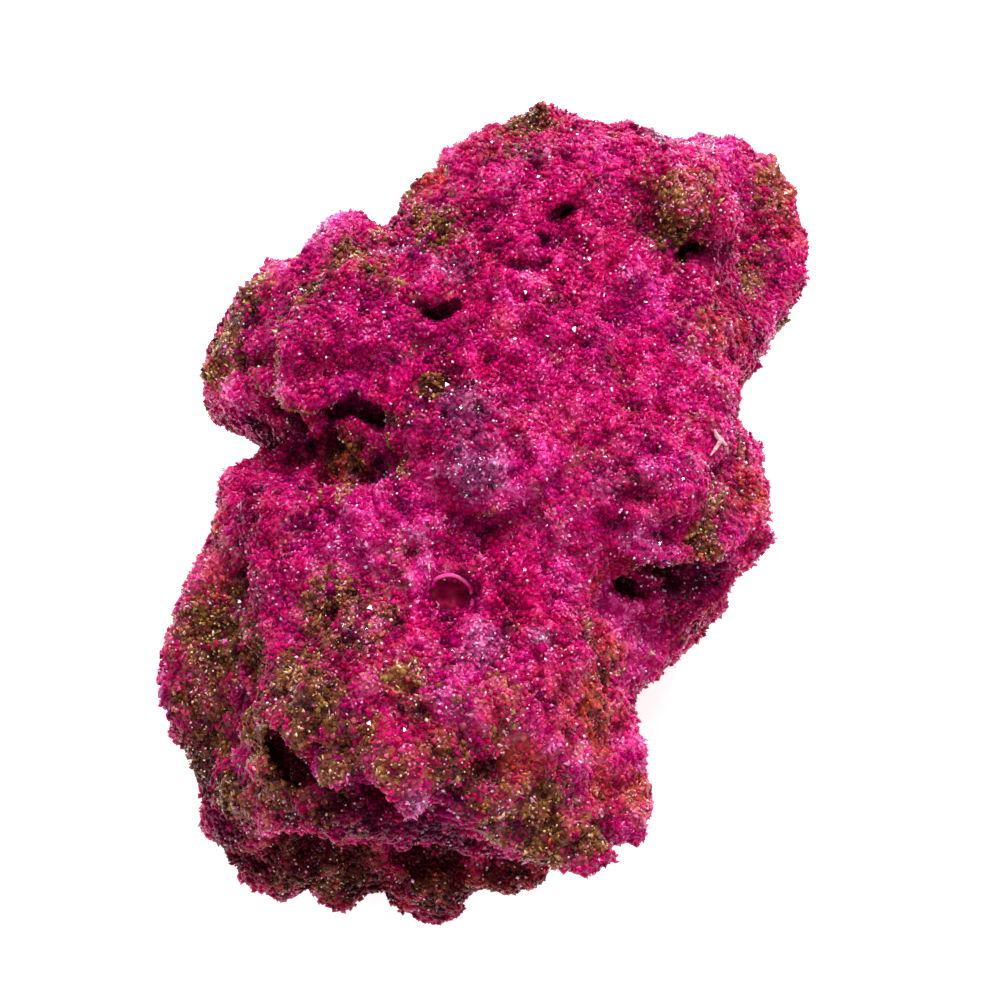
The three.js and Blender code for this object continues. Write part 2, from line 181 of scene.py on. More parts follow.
AMBER_PATCHES = [
    (540, 118, 5, 0.6), (775, 180, 6, 0.7), (740, 330, 5, 0.5), (520, 130, 8, 0.4),
    (300, 862, 9, 0.8), (380, 885, 10, 0.8), (450, 895, 9, 0.8), (520, 885, 8, 0.8),
    (240, 850, 7, 0.7), (430, 850, 6, 0.8), (350, 850, 6, 0.8), (350, 260, 5, 0.4),
    (215, 380, 4, 0.5), (300, 760, 6, 0.6), (260, 800, 6, 0.5), (500, 120, 4, 0.5),
    (598, 650, 6, 0.7), (600, 700, 7, 0.9), (590, 740, 5, 0.8), (640, 790, 4, 0.8),
    (600, 790, 5, 0.7), (744, 492, 5, 0.6), (430, 178, 4, 0.8), (420, 175, 3, 0.6),
    (480, 150, 3.5, 0.5), (220, 560, 5, 0.5), (215, 525, 4, 0.6), (505, 325, 3, 0.4),
    (435, 385, 3, 0.8), (345, 457, 5, 0.8), (710, 330, 4, 0.5), (560, 420, 4, 0.2),
    (500, 700, 4, 0.4), (565, 700, 7, 0.45), (612, 655, 5, 0.5), (550, 850, 4, 0.6),
    (655, 500, 4, 0.3), (700, 545, 4, 0.8), (520, 765, 5, 0.8), (370, 655, 4, 0.5),
    (225, 590, 5, 0.5), (260, 655, 6, 0.5), (405, 680, 4, 0.5), (690, 180, 5, 0.4),
    (790, 230, 4, 0.4), (585, 830, 4, 0.5), (440, 745, 4, 0.5), (395, 760, 4, 0.4),
]

# Each is (u, v, radius in millimetres, depth in millimetres); a knob has a depth below 0.
HOLLOWS = [
    (256, 580, 2.6, 1.6), (262, 660, 2.2, 1.2), (250, 735, 2.4, 1.6), (568, 211, 2.1, 3),
    (556, 230, 1.4, 1), (500, 252, 2.4, 1.6), (452, 372, 2.4, 1.5), (617, 310, 1.7, 1.6),
    (632, 428, 1.2, 1.4), (655, 450, 2, 1.8), (600, 374, 1.8, 1.3), (515, 519, 2, 1.4),
    (478, 540, 3.6, 2.4), (452, 548, 2.4, 1.8), (505, 560, 1.1, 1.1), (392, 500, 1.4, 1.8),
    (400, 516, 1.4, 1.8), (384, 482, 1.3, 1.3), (362, 411, 3.6, 3.4), (382, 421, 3.2, 2.6),
    (322, 438, 3, 2.2), (292, 446, 2.6, 3), (275, 440, 2.6, 2.6), (262, 430, 3.8, 3.2),
    (284, 436, 3.6, 3.4), (308, 440, 3.4, 3), (689, 252, 3, 2.4), (708, 258, 2, 1.2),
    (640, 222, 2, 1.4), (655, 166, 1.6, 1.2), (640, 195, 1.8, 1.4), (420, 716, 1.7, 1.6),
    (488, 768, 2.8, 2.8), (562, 772, 1.2, 1.1), (388, 803, 2.2, 2), (296, 774, 3, 3),
    (274, 750, 2.2, 2.2), (312, 786, 2.8, 3.6), (328, 799, 2.6, 3.2), (626, 588, 3.4, 2.3),
    (646, 577, 3.4, 3.8), (672, 577, 3.6, 4.2), (700, 578, 3.4, 3.8), (722, 580, 2.8, 2.6),
    (350, 772, 1.8, 1.4), (245, 580, 2.6, 1.8), (185, 700, 2.2, 1.4), (230, 740, 2.2, 1.6),
    (248, 700, 2.4, 1.6), (420, 400, 1.4, 1), (590, 280, 1.4, 1), (470, 200, 1.5, 0.9),
    (505, 210, 1.6, 1), (640, 500, 1.4, 0.9), (560, 480, 1.2, 0.8), (570, 350, 1.3, 0.9),
    (410, 856, 3.8, 2.2), (360, 856, 3.8, 2.2), (455, 856, 3.6, 2.2), (500, 872, 3, 1.6),
    (320, 850, 3, 1.6), (540, 790, 1.8, 1.4), (430, 806, 2.2, 1.8), (350, 640, 1.6, 0.9),
    (385, 700, 1.8, 1.2), (290, 625, 1.8, 1.2), (268, 690, 1.8, 1), (560, 690, 1.6, 1),
    (575, 640, 1.5, 1), (705, 390, 1.8, 1), (730, 250, 3, 1.8), (722, 300, 2.6, 1.4),
    (320, 310, 1.6, 1), (290, 310, 1.6, 1),
]
KNOBS = [
    (763, 537, 1.5, -1), (262, 350, 3, -1.6), (264, 375, 3, -1.8), (266, 398, 2.8, -1.8),
    (248, 650, 3.4, -2.6), (246, 690, 3.4, -2.8), (250, 727, 3, -2.2), (252, 612, 3, -2.2),
    (519, 262, 2.4, -2), (549, 240, 2, -1.2), (664, 246, 2.4, -1), (262, 625, 2.6, -1.4),
    (240, 650, 3, -1.6), (246, 705, 2.6, -1.4), (262, 772, 2.8, -1.6), (275, 790, 2.6, -1.4),
    (630, 755, 5, -1.6), (630, 796, 4.6, -1.2), (626, 822, 3.6, -2.6), (612, 840, 4, -3.2),
    (592, 852, 3.6, -2), (630, 832, 3.6, -3), (434, 292, 2.4, -2.4), (450, 298, 2, -1.8),
    (428, 310, 2, -2), (259, 545, 3.6, -1.4), (260, 575, 3.6, -1.8), (260, 605, 3.6, -1.8),
    (259, 635, 3.6, -1.8), (256, 665, 3.6, -1.6), (345, 458, 4.6, -2.2), (318, 470, 3.6, -1.6),
    (375, 462, 3.6, -1.6), (505, 283, 2.6, -1.6), (532, 282, 2.6, -1.6), (636, 283, 3, -1.2),
    (535, 252, 1.8, -1.2), (690, 196, 6.6, -2.2), (700, 157, 4, -1), (642, 546, 2.6, -2.2),
    (665, 547, 2.6, -2.2), (690, 546, 2.6, -2.2), (715, 547, 2.6, -2), (738, 554, 2.4, -1.4),
    (540, 656, 1.5, -2), (542, 640, 1.5, -1.8), (360, 498, 3.8, -1.6), (232, 398, 4.6, -1.6),
    (293, 386, 3.2, -1.2), (345, 225, 3.4, -1.2), (300, 246, 3.6, -1), (590, 135, 3.6, -1),
    (366, 436, 2.4, -1.2), (412, 560, 5, -0.8), (503, 790, 2.8, -1.6), (575, 760, 3.2, -1.2),
    (465, 695, 4, -1.2), (620, 760, 5, -0.8), (473, 462, 5, -1.8), (470, 405, 4.6, -1),
    (432, 385, 2, -1.2), (348, 462, 4, -1.6), (404, 470, 2.4, -1), (338, 498, 2, -0.8),
    (720, 440, 3.6, -1), (690, 480, 4.2, -1.4), (310, 700, 5, -1.4), (262, 660, 4, -1.2),
    (345, 610, 4.6, -1), (402, 678, 3, -1), (485, 645, 3.4, -0.6), (435, 228, 3.6, -1.2),
    (350, 245, 3, -0.8), (250, 290, 3, -1), (450, 765, 3.6, -1), (552, 838, 4, -1),
    (376, 742, 3.2, -1.2), (392, 766, 3, -1.5), (405, 788, 2.8, -1.8), (414, 803, 2.4, -1.8),
    (268, 822, 3, -1.4), (340, 705, 4, -1.2), (365, 680, 3.4, -1), (625, 430, 3.6, -1.2),
    (560, 320, 4, -1), (650, 380, 4, -1), (300, 340, 4, -1.2), (380, 330, 4, -1.2),
    (250, 500, 3, -0.8),
]

# Thin crests, each a radius in millimetres and the places that it passes over.
CRESTS = [
    (1.3, [(426, 330), (446, 331), (463, 320)]),
    (2.5, [(300, 733), (322, 747), (335, 770)]),
    (2.0, [(310, 402), (346, 382)]),
    (0.80, [(446, 800), (462, 812), (480, 826), (505, 842), (530, 852), (558, 862)]),
    (0.75, [(300, 822), (330, 822), (360, 818), (385, 826), (404, 846)]),
    (0.75, [(243, 815), (256, 832), (268, 828), (285, 826), (300, 822)]),
    (0.80, [(628, 552), (650, 556), (676, 556), (702, 552), (728, 556), (744, 564)]),
    (0.70, [(330, 404), (348, 396), (372, 396), (392, 406), (402, 420)]),
    (0.70, [(240, 428), (258, 418), (280, 418), (300, 428)]),
]
CREST_SWELL = 0.35          # how much a crest's thickness varies
CREST_SWELL_LENGTH = 2.0    # millimetres

# Pale splinters: how far each stands up, then places with a radius, in millimetres. The third is a
# pale streak that stands for the highlight on the bubble's left wall, a painted highlight.
SPLINTERS = [
    (0.36, [(714, 430, 0.14), (716, 435, 0.34), (720, 440, 0.38),
            (716, 447, 0.28), (710, 455, 0.10)]),
    (0.36, [(719, 439, 0.34), (724, 444, 0.26), (727, 453, 0.12)]),
    (0.80, [(434, 587, 0.09), (434, 597, 0.15), (437, 609, 0.10)]),
    (0.45, [(428, 560, 0.08), (429, 566, 0.14), (429, 572, 0.08)]),
]
SPLINTER_VOXEL = 0.07       # these three are in millimetres
SPLINTER_ROUGH_LENGTH = 0.35
SPLINTER_ROUGHNESS = 0.12

BALLS_EACH = 12             # balls in a string for each of its places

# A burst bubble: its middle in the front view, then lengths in millimetres.
BUBBLE_AT = (449, 599)
BUBBLE_RADIUS = 3.05
BUBBLE_DEPTH = 2.6
BUBBLE_RIM = 0.52
BUBBLE_LEAN = (0.05, 0.0, 0.05)
BUBBLE_RAISED = 0.45
BUBBLE_FOOT = 1.6           # how far down the outside of the edge goes
BUBBLE_CLEARANCE = 0.7      # how far the rock lies below the bowl
BUBBLE_SHORE = -0.15        # where the rock round the bowl lies
BUBBLE_REACH = 5            # how far up and down the rock is moved
BUBBLE_RIM_FROM, BUBBLE_RIM_TO = -50, 130   # degrees round from the view's right
EDGE_PROUD, EDGE_SUNK, EDGE_UNEVEN = 0.35, 0.9, 0.2     # the edge's height, there and elsewhere
# The rest are in radii of the bubble.
BOWL_WIDTH = 0.97
BUBBLE_HOLE = 0.95
BUBBLE_RAGGED = 0.10        # how uneven the hole's edge is
BUBBLE_COVERED = 0.42       # how far grains reach over the lower side
BUBBLE_FADE = (1.1, 1.7)    # the rock is moved less and less between these
BUBBLE_OUT_OF_ROUND = 0.035
BOWL_RINGS, LIP_RINGS, AROUND = 14, 7, 96

# ------------------------------------------------------------------ fields


class Noise:
    """Smooth gradient noise between about -1 and 1, the same on every run."""

    CELLS = 256
    GAIN = 1.6              # brings the sum to about -1 to 1

    def __init__(self, seed):
        draw = np.random.default_rng(seed)
        self.order = np.tile(draw.permutation(self.CELLS), 2)
        slopes = draw.normal(size=(self.CELLS, 3))
        self.slopes = slopes / np.linalg.norm(slopes, axis=1, keepdims=True)

    def __call__(self, points):
        cell = np.floor(points).astype(int)
        part = points - cell
        ease = part ** 3 * (part * (part * 6 - 15) + 10)
        total = np.zeros(len(points))
        for corner in np.ndindex(2, 2, 2):
            x, y, z = ((cell + corner) % self.CELLS).T
            slope = self.slopes[self.order[self.order[self.order[x] + y] + z]]
            rise = ((part - corner) * slope).sum(1)
            share = np.where(corner, ease, 1 - ease).prod(1)
            total += rise * share
        return total * self.GAIN


def noise_on(points, seed, length):
    """Noise in lumps of the given length in millimetres."""
    return Noise(seed)(points / (length * MM))


def waver(points, seed, length, reach):
    """Uneven shifts, which make round places ragged; both sizes are in millimetres."""
    return np.stack([noise_on(points, seed + i, length) for i in range(3)], 1) * reach * MM


def smooth_step(low, high, value):
    t = np.clip((value - low) / (high - low), 0, 1)
    return t * t * (3 - 2 * t)


def numbers_of(mesh, name):
    flat = np.empty(len(mesh.vertices) * 3, np.float32)
    mesh.vertices.foreach_get(name, flat)
    return flat.reshape(-1, 3).astype(float)


def points_of(mesh):
    return numbers_of(mesh, "co")


def normals_of(mesh):
    return numbers_of(mesh, "normal")


def move_points(mesh, points):
    mesh.vertices.foreach_set("co", points.astype(np.float32).ravel())
    mesh.update()


def shade_smooth(mesh, smooth=True):
    mesh.polygons.foreach_set("use_smooth", [smooth] * len(mesh.polygons))


def set_attribute(mesh, name, values):
    layer = mesh.attributes.new(name, "FLOAT", "POINT")
    layer.data.foreach_set("value", np.asarray(values, np.float32))


# ------------------------------------------------------------------ the rock

VOXEL = 0.62 * MM
FACET_SMOOTHING = 24
MOST_ROCK_TRIANGLES = 190000
SOFTEN_STEP = 0.5
MERGE = 0.001 * MM          # points nearer than this are one

# (length of the pattern in millimetres, height in millimetres, how cleft it is, from 0 to 1)
LUMPS = [(9.0, 0.7, 0.2), (4.6, 1.0, 0.7), (2.5, 1.0, 0.65)]
BILLOW_STEEPNESS, BILLOW_MIDDLE = 2.2, 0.55
WARPS = [(5.2, 0.8), (2.3, 0.5)]    # lengths and reaches, which break up the edges of holes
PORE_LENGTH = 3.4           # millimetres
PORE_DEPTH = 1.3 * MM
PORE_EDGE = (0.32, 0.55)    # the noise at a pore's edge and in its middle
CALM_FOOT = 3 * MM          # the lumps fade out towards the flat back, from this height
DENT_WAVER = (1.8, 1.3)     # length and reach in millimetres
DENT_EDGE = (0.1, 1.35)     # a dent's floor ends and its wall ends, in radii
OPEN_RAYS = 12
OPEN_REACH = 9 * MM
OPEN_START = 0.25           # millimetres above the surface
OPEN_SKEW = 1.05            # above 1, so that every ray leaves the surface
ROUNDING = 90               # how often the mass is smoothed to find what stands out of it


def link(obj):
    bpy.context.scene.collection.objects.link(obj)
    return obj


def object_from(shell, name):
    """Makes an object of a shell that is being built, and closes the shell."""
    mesh = bpy.data.meshes.new(name)
    shell.to_mesh(mesh)
    shell.free()
    return link(bpy.data.objects.new(name, mesh))


def settled(obj):
    """The plain mesh that an object's modifiers make, which are then dropped."""
    graph = bpy.context.evaluated_depsgraph_get()
    mesh = bpy.data.meshes.new_from_object(obj.evaluated_get(graph))
    obj.modifiers.clear()
    obj.data = mesh
    return obj


def merged_copy(node, name):
    shell = bmesh.new()
    shell.from_mesh(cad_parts[node].data)
    bmesh.ops.remove_doubles(shell, verts=shell.verts, dist=MERGE)
    return object_from(shell, name)


def voxel_skin(obj, size):
    remesh = obj.modifiers.new("skin", "REMESH")
    remesh.mode = "VOXEL"
    remesh.voxel_size = size
    return settled(obj)


def soften(obj, times):
    smooth = obj.modifiers.new("soften", "SMOOTH")
    smooth.factor = SOFTEN_STEP
    smooth.iterations = times
    return settled(obj)


def thin_out(obj, most):
    count = sum(len(polygon.vertices) - 2 for polygon in obj.data.polygons)
    if count > most:
        thin = obj.modifiers.new("thin", "DECIMATE")
        thin.ratio = most / count
        settled(obj)


def tree_of(mesh):
    return BVHTree.FromPolygons([v.co for v in mesh.vertices], [p.vertices for p in mesh.polygons])


def lump_height(points):
    """Rounded lumps with clefts between them, and scattered pores."""
    height = np.zeros(len(points))
    for turn, (length, rise, cleft) in enumerate(LUMPS):
        wave = noise_on(points, 20 + turn, length)
        billow = np.minimum(np.abs(wave) * BILLOW_STEEPNESS, 1) - BILLOW_MIDDLE
        height += rise * ((1 - cleft) * wave + cleft * billow) * MM
    pores = smooth_step(*PORE_EDGE, noise_on(points, 30, PORE_LENGTH))
    return height - PORE_DEPTH * pores


def spot_on(tree, u, v):
    hit, normal, _, _ = tree.ray_cast(EYE, sight_line(u, v))
    return hit, normal


def radii_from(points, hit, radius):
    """How far each point is from a place, in radii, which are in millimetres."""
    return np.linalg.norm(points - np.array(hit), axis=1) / (radius * MM)


def press(points, facing, tree, spots, wobble):
    """Moves points in at hollows and out at knobs."""
    into = np.zeros(len(points))
    out = np.zeros(len(points))
    strayed = points + wobble
    for u, v, radius, depth in spots:
        hit, _ = spot_on(tree, u, v)
        if hit is None:
            continue
        change = depth * MM * (1 - smooth_step(*DENT_EDGE, radii_from(strayed, hit, radius)))
        into = np.maximum(into, change)
        out = np.minimum(out, change)
    return points - facing * (into + out)[:, None]


def along(stations):
    """Rows of numbers set close together on the way from each station to the next."""
    stations = np.array(stations)
    count = len(stations)
    steps = np.linspace(0, count - 1, BALLS_EACH * count)
    return np.stack([np.interp(steps, np.arange(count), row) for row in stations.T], 1)


def add_balls(string, places, sizes, fineness):
    for place, size in zip(places, sizes):
        spot = Matrix.Translation(Vector(place)) @ Matrix.Scale(size, 4)
        bmesh.ops.create_icosphere(string, subdivisions=fineness, radius=1, matrix=spot)


def add_crests(rock, tree):
    """Joins a string of balls along each crest to the rock, for the next remesh to melt in."""
    string = bmesh.new()
    for radius, places in CRESTS:
        hits = [spot_on(tree, u, v)[0] for u, v in places]
        way = along([hit for hit in hits if hit is not None])
        swell = CREST_SWELL * noise_on(way, 40, CREST_SWELL_LENGTH)
        add_balls(string, way, radius * MM * (1 + swell), 1)
    balls = bpy.data.meshes.new("crests")
    string.to_mesh(balls)
    string.free()
    shell = bmesh.new()
    shell.from_mesh(rock.data)
    shell.from_mesh(balls)
    shell.to_mesh(rock.data)
    shell.free()


def make_splinters(tree):
    """Pale splinters that lie among the grains, one of them a painted highlight streak: strings of
    balls melted together.
    """
    string = bmesh.new()
    for raised, limb in SPLINTERS:
        stations = []
        for u, v, radius in limb:
            hit, normal = spot_on(tree, u, v)
            lift = (normal + VIEW_BACK).normalized() * raised * MM
            stations.append([*(hit + lift), radius * MM])
        way = along(stations)
        add_balls(string, way[:, :3], way[:, 3], 2)
    splinters = voxel_skin(object_from(string, "pale_splinters"), SPLINTER_VOXEL * MM)
    mesh = splinters.data
    points = points_of(mesh)
    rough = noise_on(points, 48, SPLINTER_ROUGH_LENGTH)
    move_points(mesh, points + normals_of(mesh) * rough[:, None] * SPLINTER_ROUGHNESS * MM)
    shade_smooth(mesh)
    return splinters


def bubble_frame(tree):
    """The middle of the burst bubble, and its right, up and outward directions."""
    middle, _ = spot_on(tree, *BUBBLE_AT)
    out = (VIEW_BACK + Vector(BUBBLE_LEAN)).normalized()
    middle = middle + out * BUBBLE_RAISED * MM
    right = (VIEW_RIGHT - out * VIEW_RIGHT.dot(out)).normalized()
    return np.array(middle), np.array(right), np.array(out.cross(right)), np.array(out)


def covered(points, frame_of_bubble):
    """How far grains reach over the bubble here, which is over its lower side, in radii."""
    middle, _, up, _ = frame_of_bubble
    return BUBBLE_COVERED * smooth_step(0.1, -1.0, (points - middle) @ up / (BUBBLE_RADIUS * MM))


def sink_bubble(points, frame_of_bubble):
    """Moves the rock down under the bubble's bowl."""
    middle, right, up, out = frame_of_bubble
    offset = points - middle
    away = np.hypot(offset @ right, offset @ up) / (BUBBLE_RADIUS * MM)
    near = np.abs(offset @ out) < BUBBLE_REACH * MM
    ragged = noise_on(points, 46, 0.9) * BUBBLE_RAGGED + covered(points, frame_of_bubble)
    bed = -(BUBBLE_DEPTH + BUBBLE_CLEARANCE) * MM
    bowl = np.where(away + ragged < BUBBLE_HOLE, bed, BUBBLE_SHORE * MM)
    share = 1 - smooth_step(*BUBBLE_FADE, away)
    change = (bowl - offset @ out) * share * near
    return points + out * change[:, None]


def bubble_rings():
    """Rings from the bowl's bottom to its outer foot: radius, height, and 1 on the edge."""
    rings = []
    for k in range(BOWL_RINGS + 1):
        dip = math.pi / 2 * (1 - k / BOWL_RINGS)
        radius = BUBBLE_RADIUS * math.cos(dip) * BOWL_WIDTH
        rings.append((radius, -BUBBLE_DEPTH * math.sin(dip), 0.0))
    edge = BUBBLE_RIM / 2
    for k in range(1, LIP_RINGS + 1):
        turn = math.pi * k / LIP_RINGS
        rings.append((BUBBLE_RADIUS + edge * (1 - math.cos(turn)), edge * math.sin(turn), 1.0))
    rings.append((BUBBLE_RADIUS + 2 * edge, -BUBBLE_FOOT, 0.0))
    return rings


def make_bubble(frame_of_bubble):
    """The bubble's thin smooth skin: a bowl whose wall ends in a raised uneven edge."""
    middle, right, up, out = frame_of_bubble
    rings = bubble_rings()
    turn = np.arange(AROUND) * 2 * math.pi / AROUND
    middle_turn = math.radians((BUBBLE_RIM_FROM + BUBBLE_RIM_TO) / 2)
    half = math.radians((BUBBLE_RIM_TO - BUBBLE_RIM_FROM) / 2)
    off = np.abs((turn - middle_turn + math.pi) % (2 * math.pi) - math.pi)
    proud = 1 - smooth_step(half * 0.8, half * 1.25, off)
    vertices = []
    for radius, height, on_edge in rings:
        spot = np.stack([np.cos(turn), np.sin(turn), np.full(AROUND, height)], 1)
        rough = Noise(45)(spot * 1.6)
        edge = EDGE_PROUD * proud - EDGE_SUNK * (1 - proud) + EDGE_UNEVEN * rough
        lift = height + on_edge * edge
        reach = radius * (1 + BUBBLE_OUT_OF_ROUND * rough)
        side = np.outer(np.cos(turn) * reach, right) + np.outer(np.sin(turn) * reach, up)
        vertices.append(middle + (side + np.outer(lift, out)) * MM)
    faces = []
    for ring in range(len(rings) - 1):
        for i in range(AROUND):
            j = (i + 1) % AROUND
            a = ring * AROUND
            faces.append((a + i, a + j, a + AROUND + j, a + AROUND + i))
    faces.append(tuple(range(AROUND)))
    faces.append(tuple(range((len(rings) - 1) * AROUND, len(rings) * AROUND))[::-1])
    mesh = bpy.data.meshes.new("bubble_skin")
    mesh.from_pydata(np.concatenate(vertices).tolist(), [], faces)
    set_attribute(mesh, "edge", np.repeat([on_edge for _, _, on_edge in rings], AROUND))
    whole = bmesh.new()
    whole.from_mesh(mesh)
    bmesh.ops.remove_doubles(whole, verts=whole.verts, dist=MERGE)
    bmesh.ops.recalc_face_normals(whole, faces=whole.faces)
    whole.to_mesh(mesh)
    whole.free()
    shade_smooth(mesh)
    return link(bpy.data.objects.new("bubble_skin", mesh))


def make_rock():
    rock = merged_copy(NODE, "ruby_rock")
    voxel_skin(rock, VOXEL)
    soften(rock, FACET_SMOOTHING)
    mesh = rock.data
    tree = tree_of(mesh)
    points = points_of(mesh)
    facing = normals_of(mesh)
    low = smooth_step(0, CALM_FOOT, points[:, 2])
    wobble = waver(points, 50, *DENT_WAVER)
    points = points + facing * (lump_height(points) * low)[:, None]
    points = press(points, facing, tree, HOLLOWS + KNOBS, wobble)
    for length, reach in WARPS:
        points = points + waver(points, int(length * 10), length, reach) * low[:, None]
    move_points(mesh, points)
    add_crests(rock, tree_of(mesh))
    voxel_skin(rock, VOXEL)
    mesh = rock.data
    frame_of_bubble = bubble_frame(tree_of(mesh))
    move_points(mesh, sink_bubble(points_of(mesh), frame_of_bubble))
    thin_out(rock, MOST_ROCK_TRIANGLES)
    shade_smooth(rock.data)
    return rock, frame_of_bubble


def standing_out(rock):
    """How far each point stands out of the rounded mass, in metres; less than 0 in a hollow."""
    copy = link(bpy.data.objects.new("rounded", rock.data.copy()))
    soften(copy, ROUNDING)
    rounded = tree_of(copy.data)
    height = []
    for vertex in rock.data.vertices:
        place, normal, _, _ = rounded.find_nearest(vertex.co)
        height.append((vertex.co - place).dot(normal))
    bpy.data.objects.remove(copy)
    return np.array(height)


def openness(points, facing, tree):
    """The share of the sky over each point that is open, from 0 in a deep hole to 1."""
    draw = np.random.default_rng(90)
    rays = draw.normal(size=(OPEN_RAYS, 3))
    rays /= np.linalg.norm(rays, axis=1, keepdims=True)
    free = np.zeros(len(points))
    for ray in rays:
        way = facing * OPEN_SKEW + ray
        way /= np.linalg.norm(way, axis=1, keepdims=True)
        start = points + facing * OPEN_START * MM
        for i in range(len(points)):
            if tree.ray_cast(start[i], way[i], OPEN_REACH)[0] is None:
                free[i] += 1
    return free / OPEN_RAYS


# ------------------------------------------------------------------ what grows where

PATCH_WAVER = (3.2, 1.3)    # length and reach in millimetres
PATCH_EDGE = (0.3, 1.3)     # a patch is full up to the first and ends at the second, in radii
HIDDEN_EDGE = (0.25, 0.6)   # cosines to the front view, between a hidden face and a seen one
HIDDEN_OLIVE = 0.85         # how strong the crusts are where no place is listed
THIN_OLIVE = 0.42
HIDDEN_AMBER = 0.6
FROST_CLEAR = 0.45          # the share of see-through crystals in a frosty patch
FROST_OVER_OLIVE = 0.7
PROUD_RANGE = (-1.6, 1.2)   # millimetres in and out of the rounded mass, which the tone turns into painted highlight and shade
HOLLOW_SHADE_EDGE = (0.15, 0.8)     # shares of open sky, from full painted shade in a recess to none
# The painted light that lifts the deepest holes back from black fades out between these shares.
DEEP_EDGE = (0.0, 0.3)
WILD_EDGE = (0.12, 0.5)     # the noise where such a patch begins and where it is full
THIN_EDGE = (0.15, 0.5)
AMBER_EDGE = (0.3, 0.6)
FLOCK_EDGE = (0.1, 0.7)
FILM_EDGE = (0.28, 0.45)
UNDER_EDGE = (-0.9, -0.2)   # how far a face that lies below turns down
UNDER_BARE = 0.7            # how much thinner the druse is there
FILM_BARE = 0.12            # how much thinner it is in small patches everywhere
BUBBLE_BARE = (0.90, 0.97)  # no grain stands nearer the bubble's middle, in radii

# The pale tips, small pale crystals that also stand for glints as painted highlight: their least
# share, then what the crusts add and what hides them, painted shade in recesses and under faces.
FEW_TIPS = 0.10
OLIVE_TIPS, FROST_TIPS = 0.75, 0.7
DARK_TIPS, UNDER_TIPS = 0.75, 0.8
TIPS_EDGE = (-0.8, 0.2)     # millimetres in and out, between none in hollows and all outside

# What each field adds to the tone, which runs from 0, near black, to 1, pale. Much of it is
# painted
# light and shade: the height out of the rounded mass paints highlight on lumps and shade in
# hollows, little open sky paints shade in recesses, the deepest holes are lifted by painted light,
# and the wine and rose patches are partly painted shade and highlight. The mottle is tone that
# differs at random.
TONE_MIDDLE = 0.525
TONE_OF = {"proud": 0.16, "mottle": 0.18, "rose_and_highlight": 0.22, "wine_and_shade": -0.22, "dark": -0.34,
           "deep": 0.34}

# What each field adds to the hue, which runs from 0, crimson, to 1, purple.
HUE_MIDDLE = 0.30
HUE_OF = {"broad": 0.42, "fine": 0.3, "rose_and_highlight": 0.2, "amber": -0.3}

FLAT_SHARE = 0.08           # how many crystals show one flat bright face


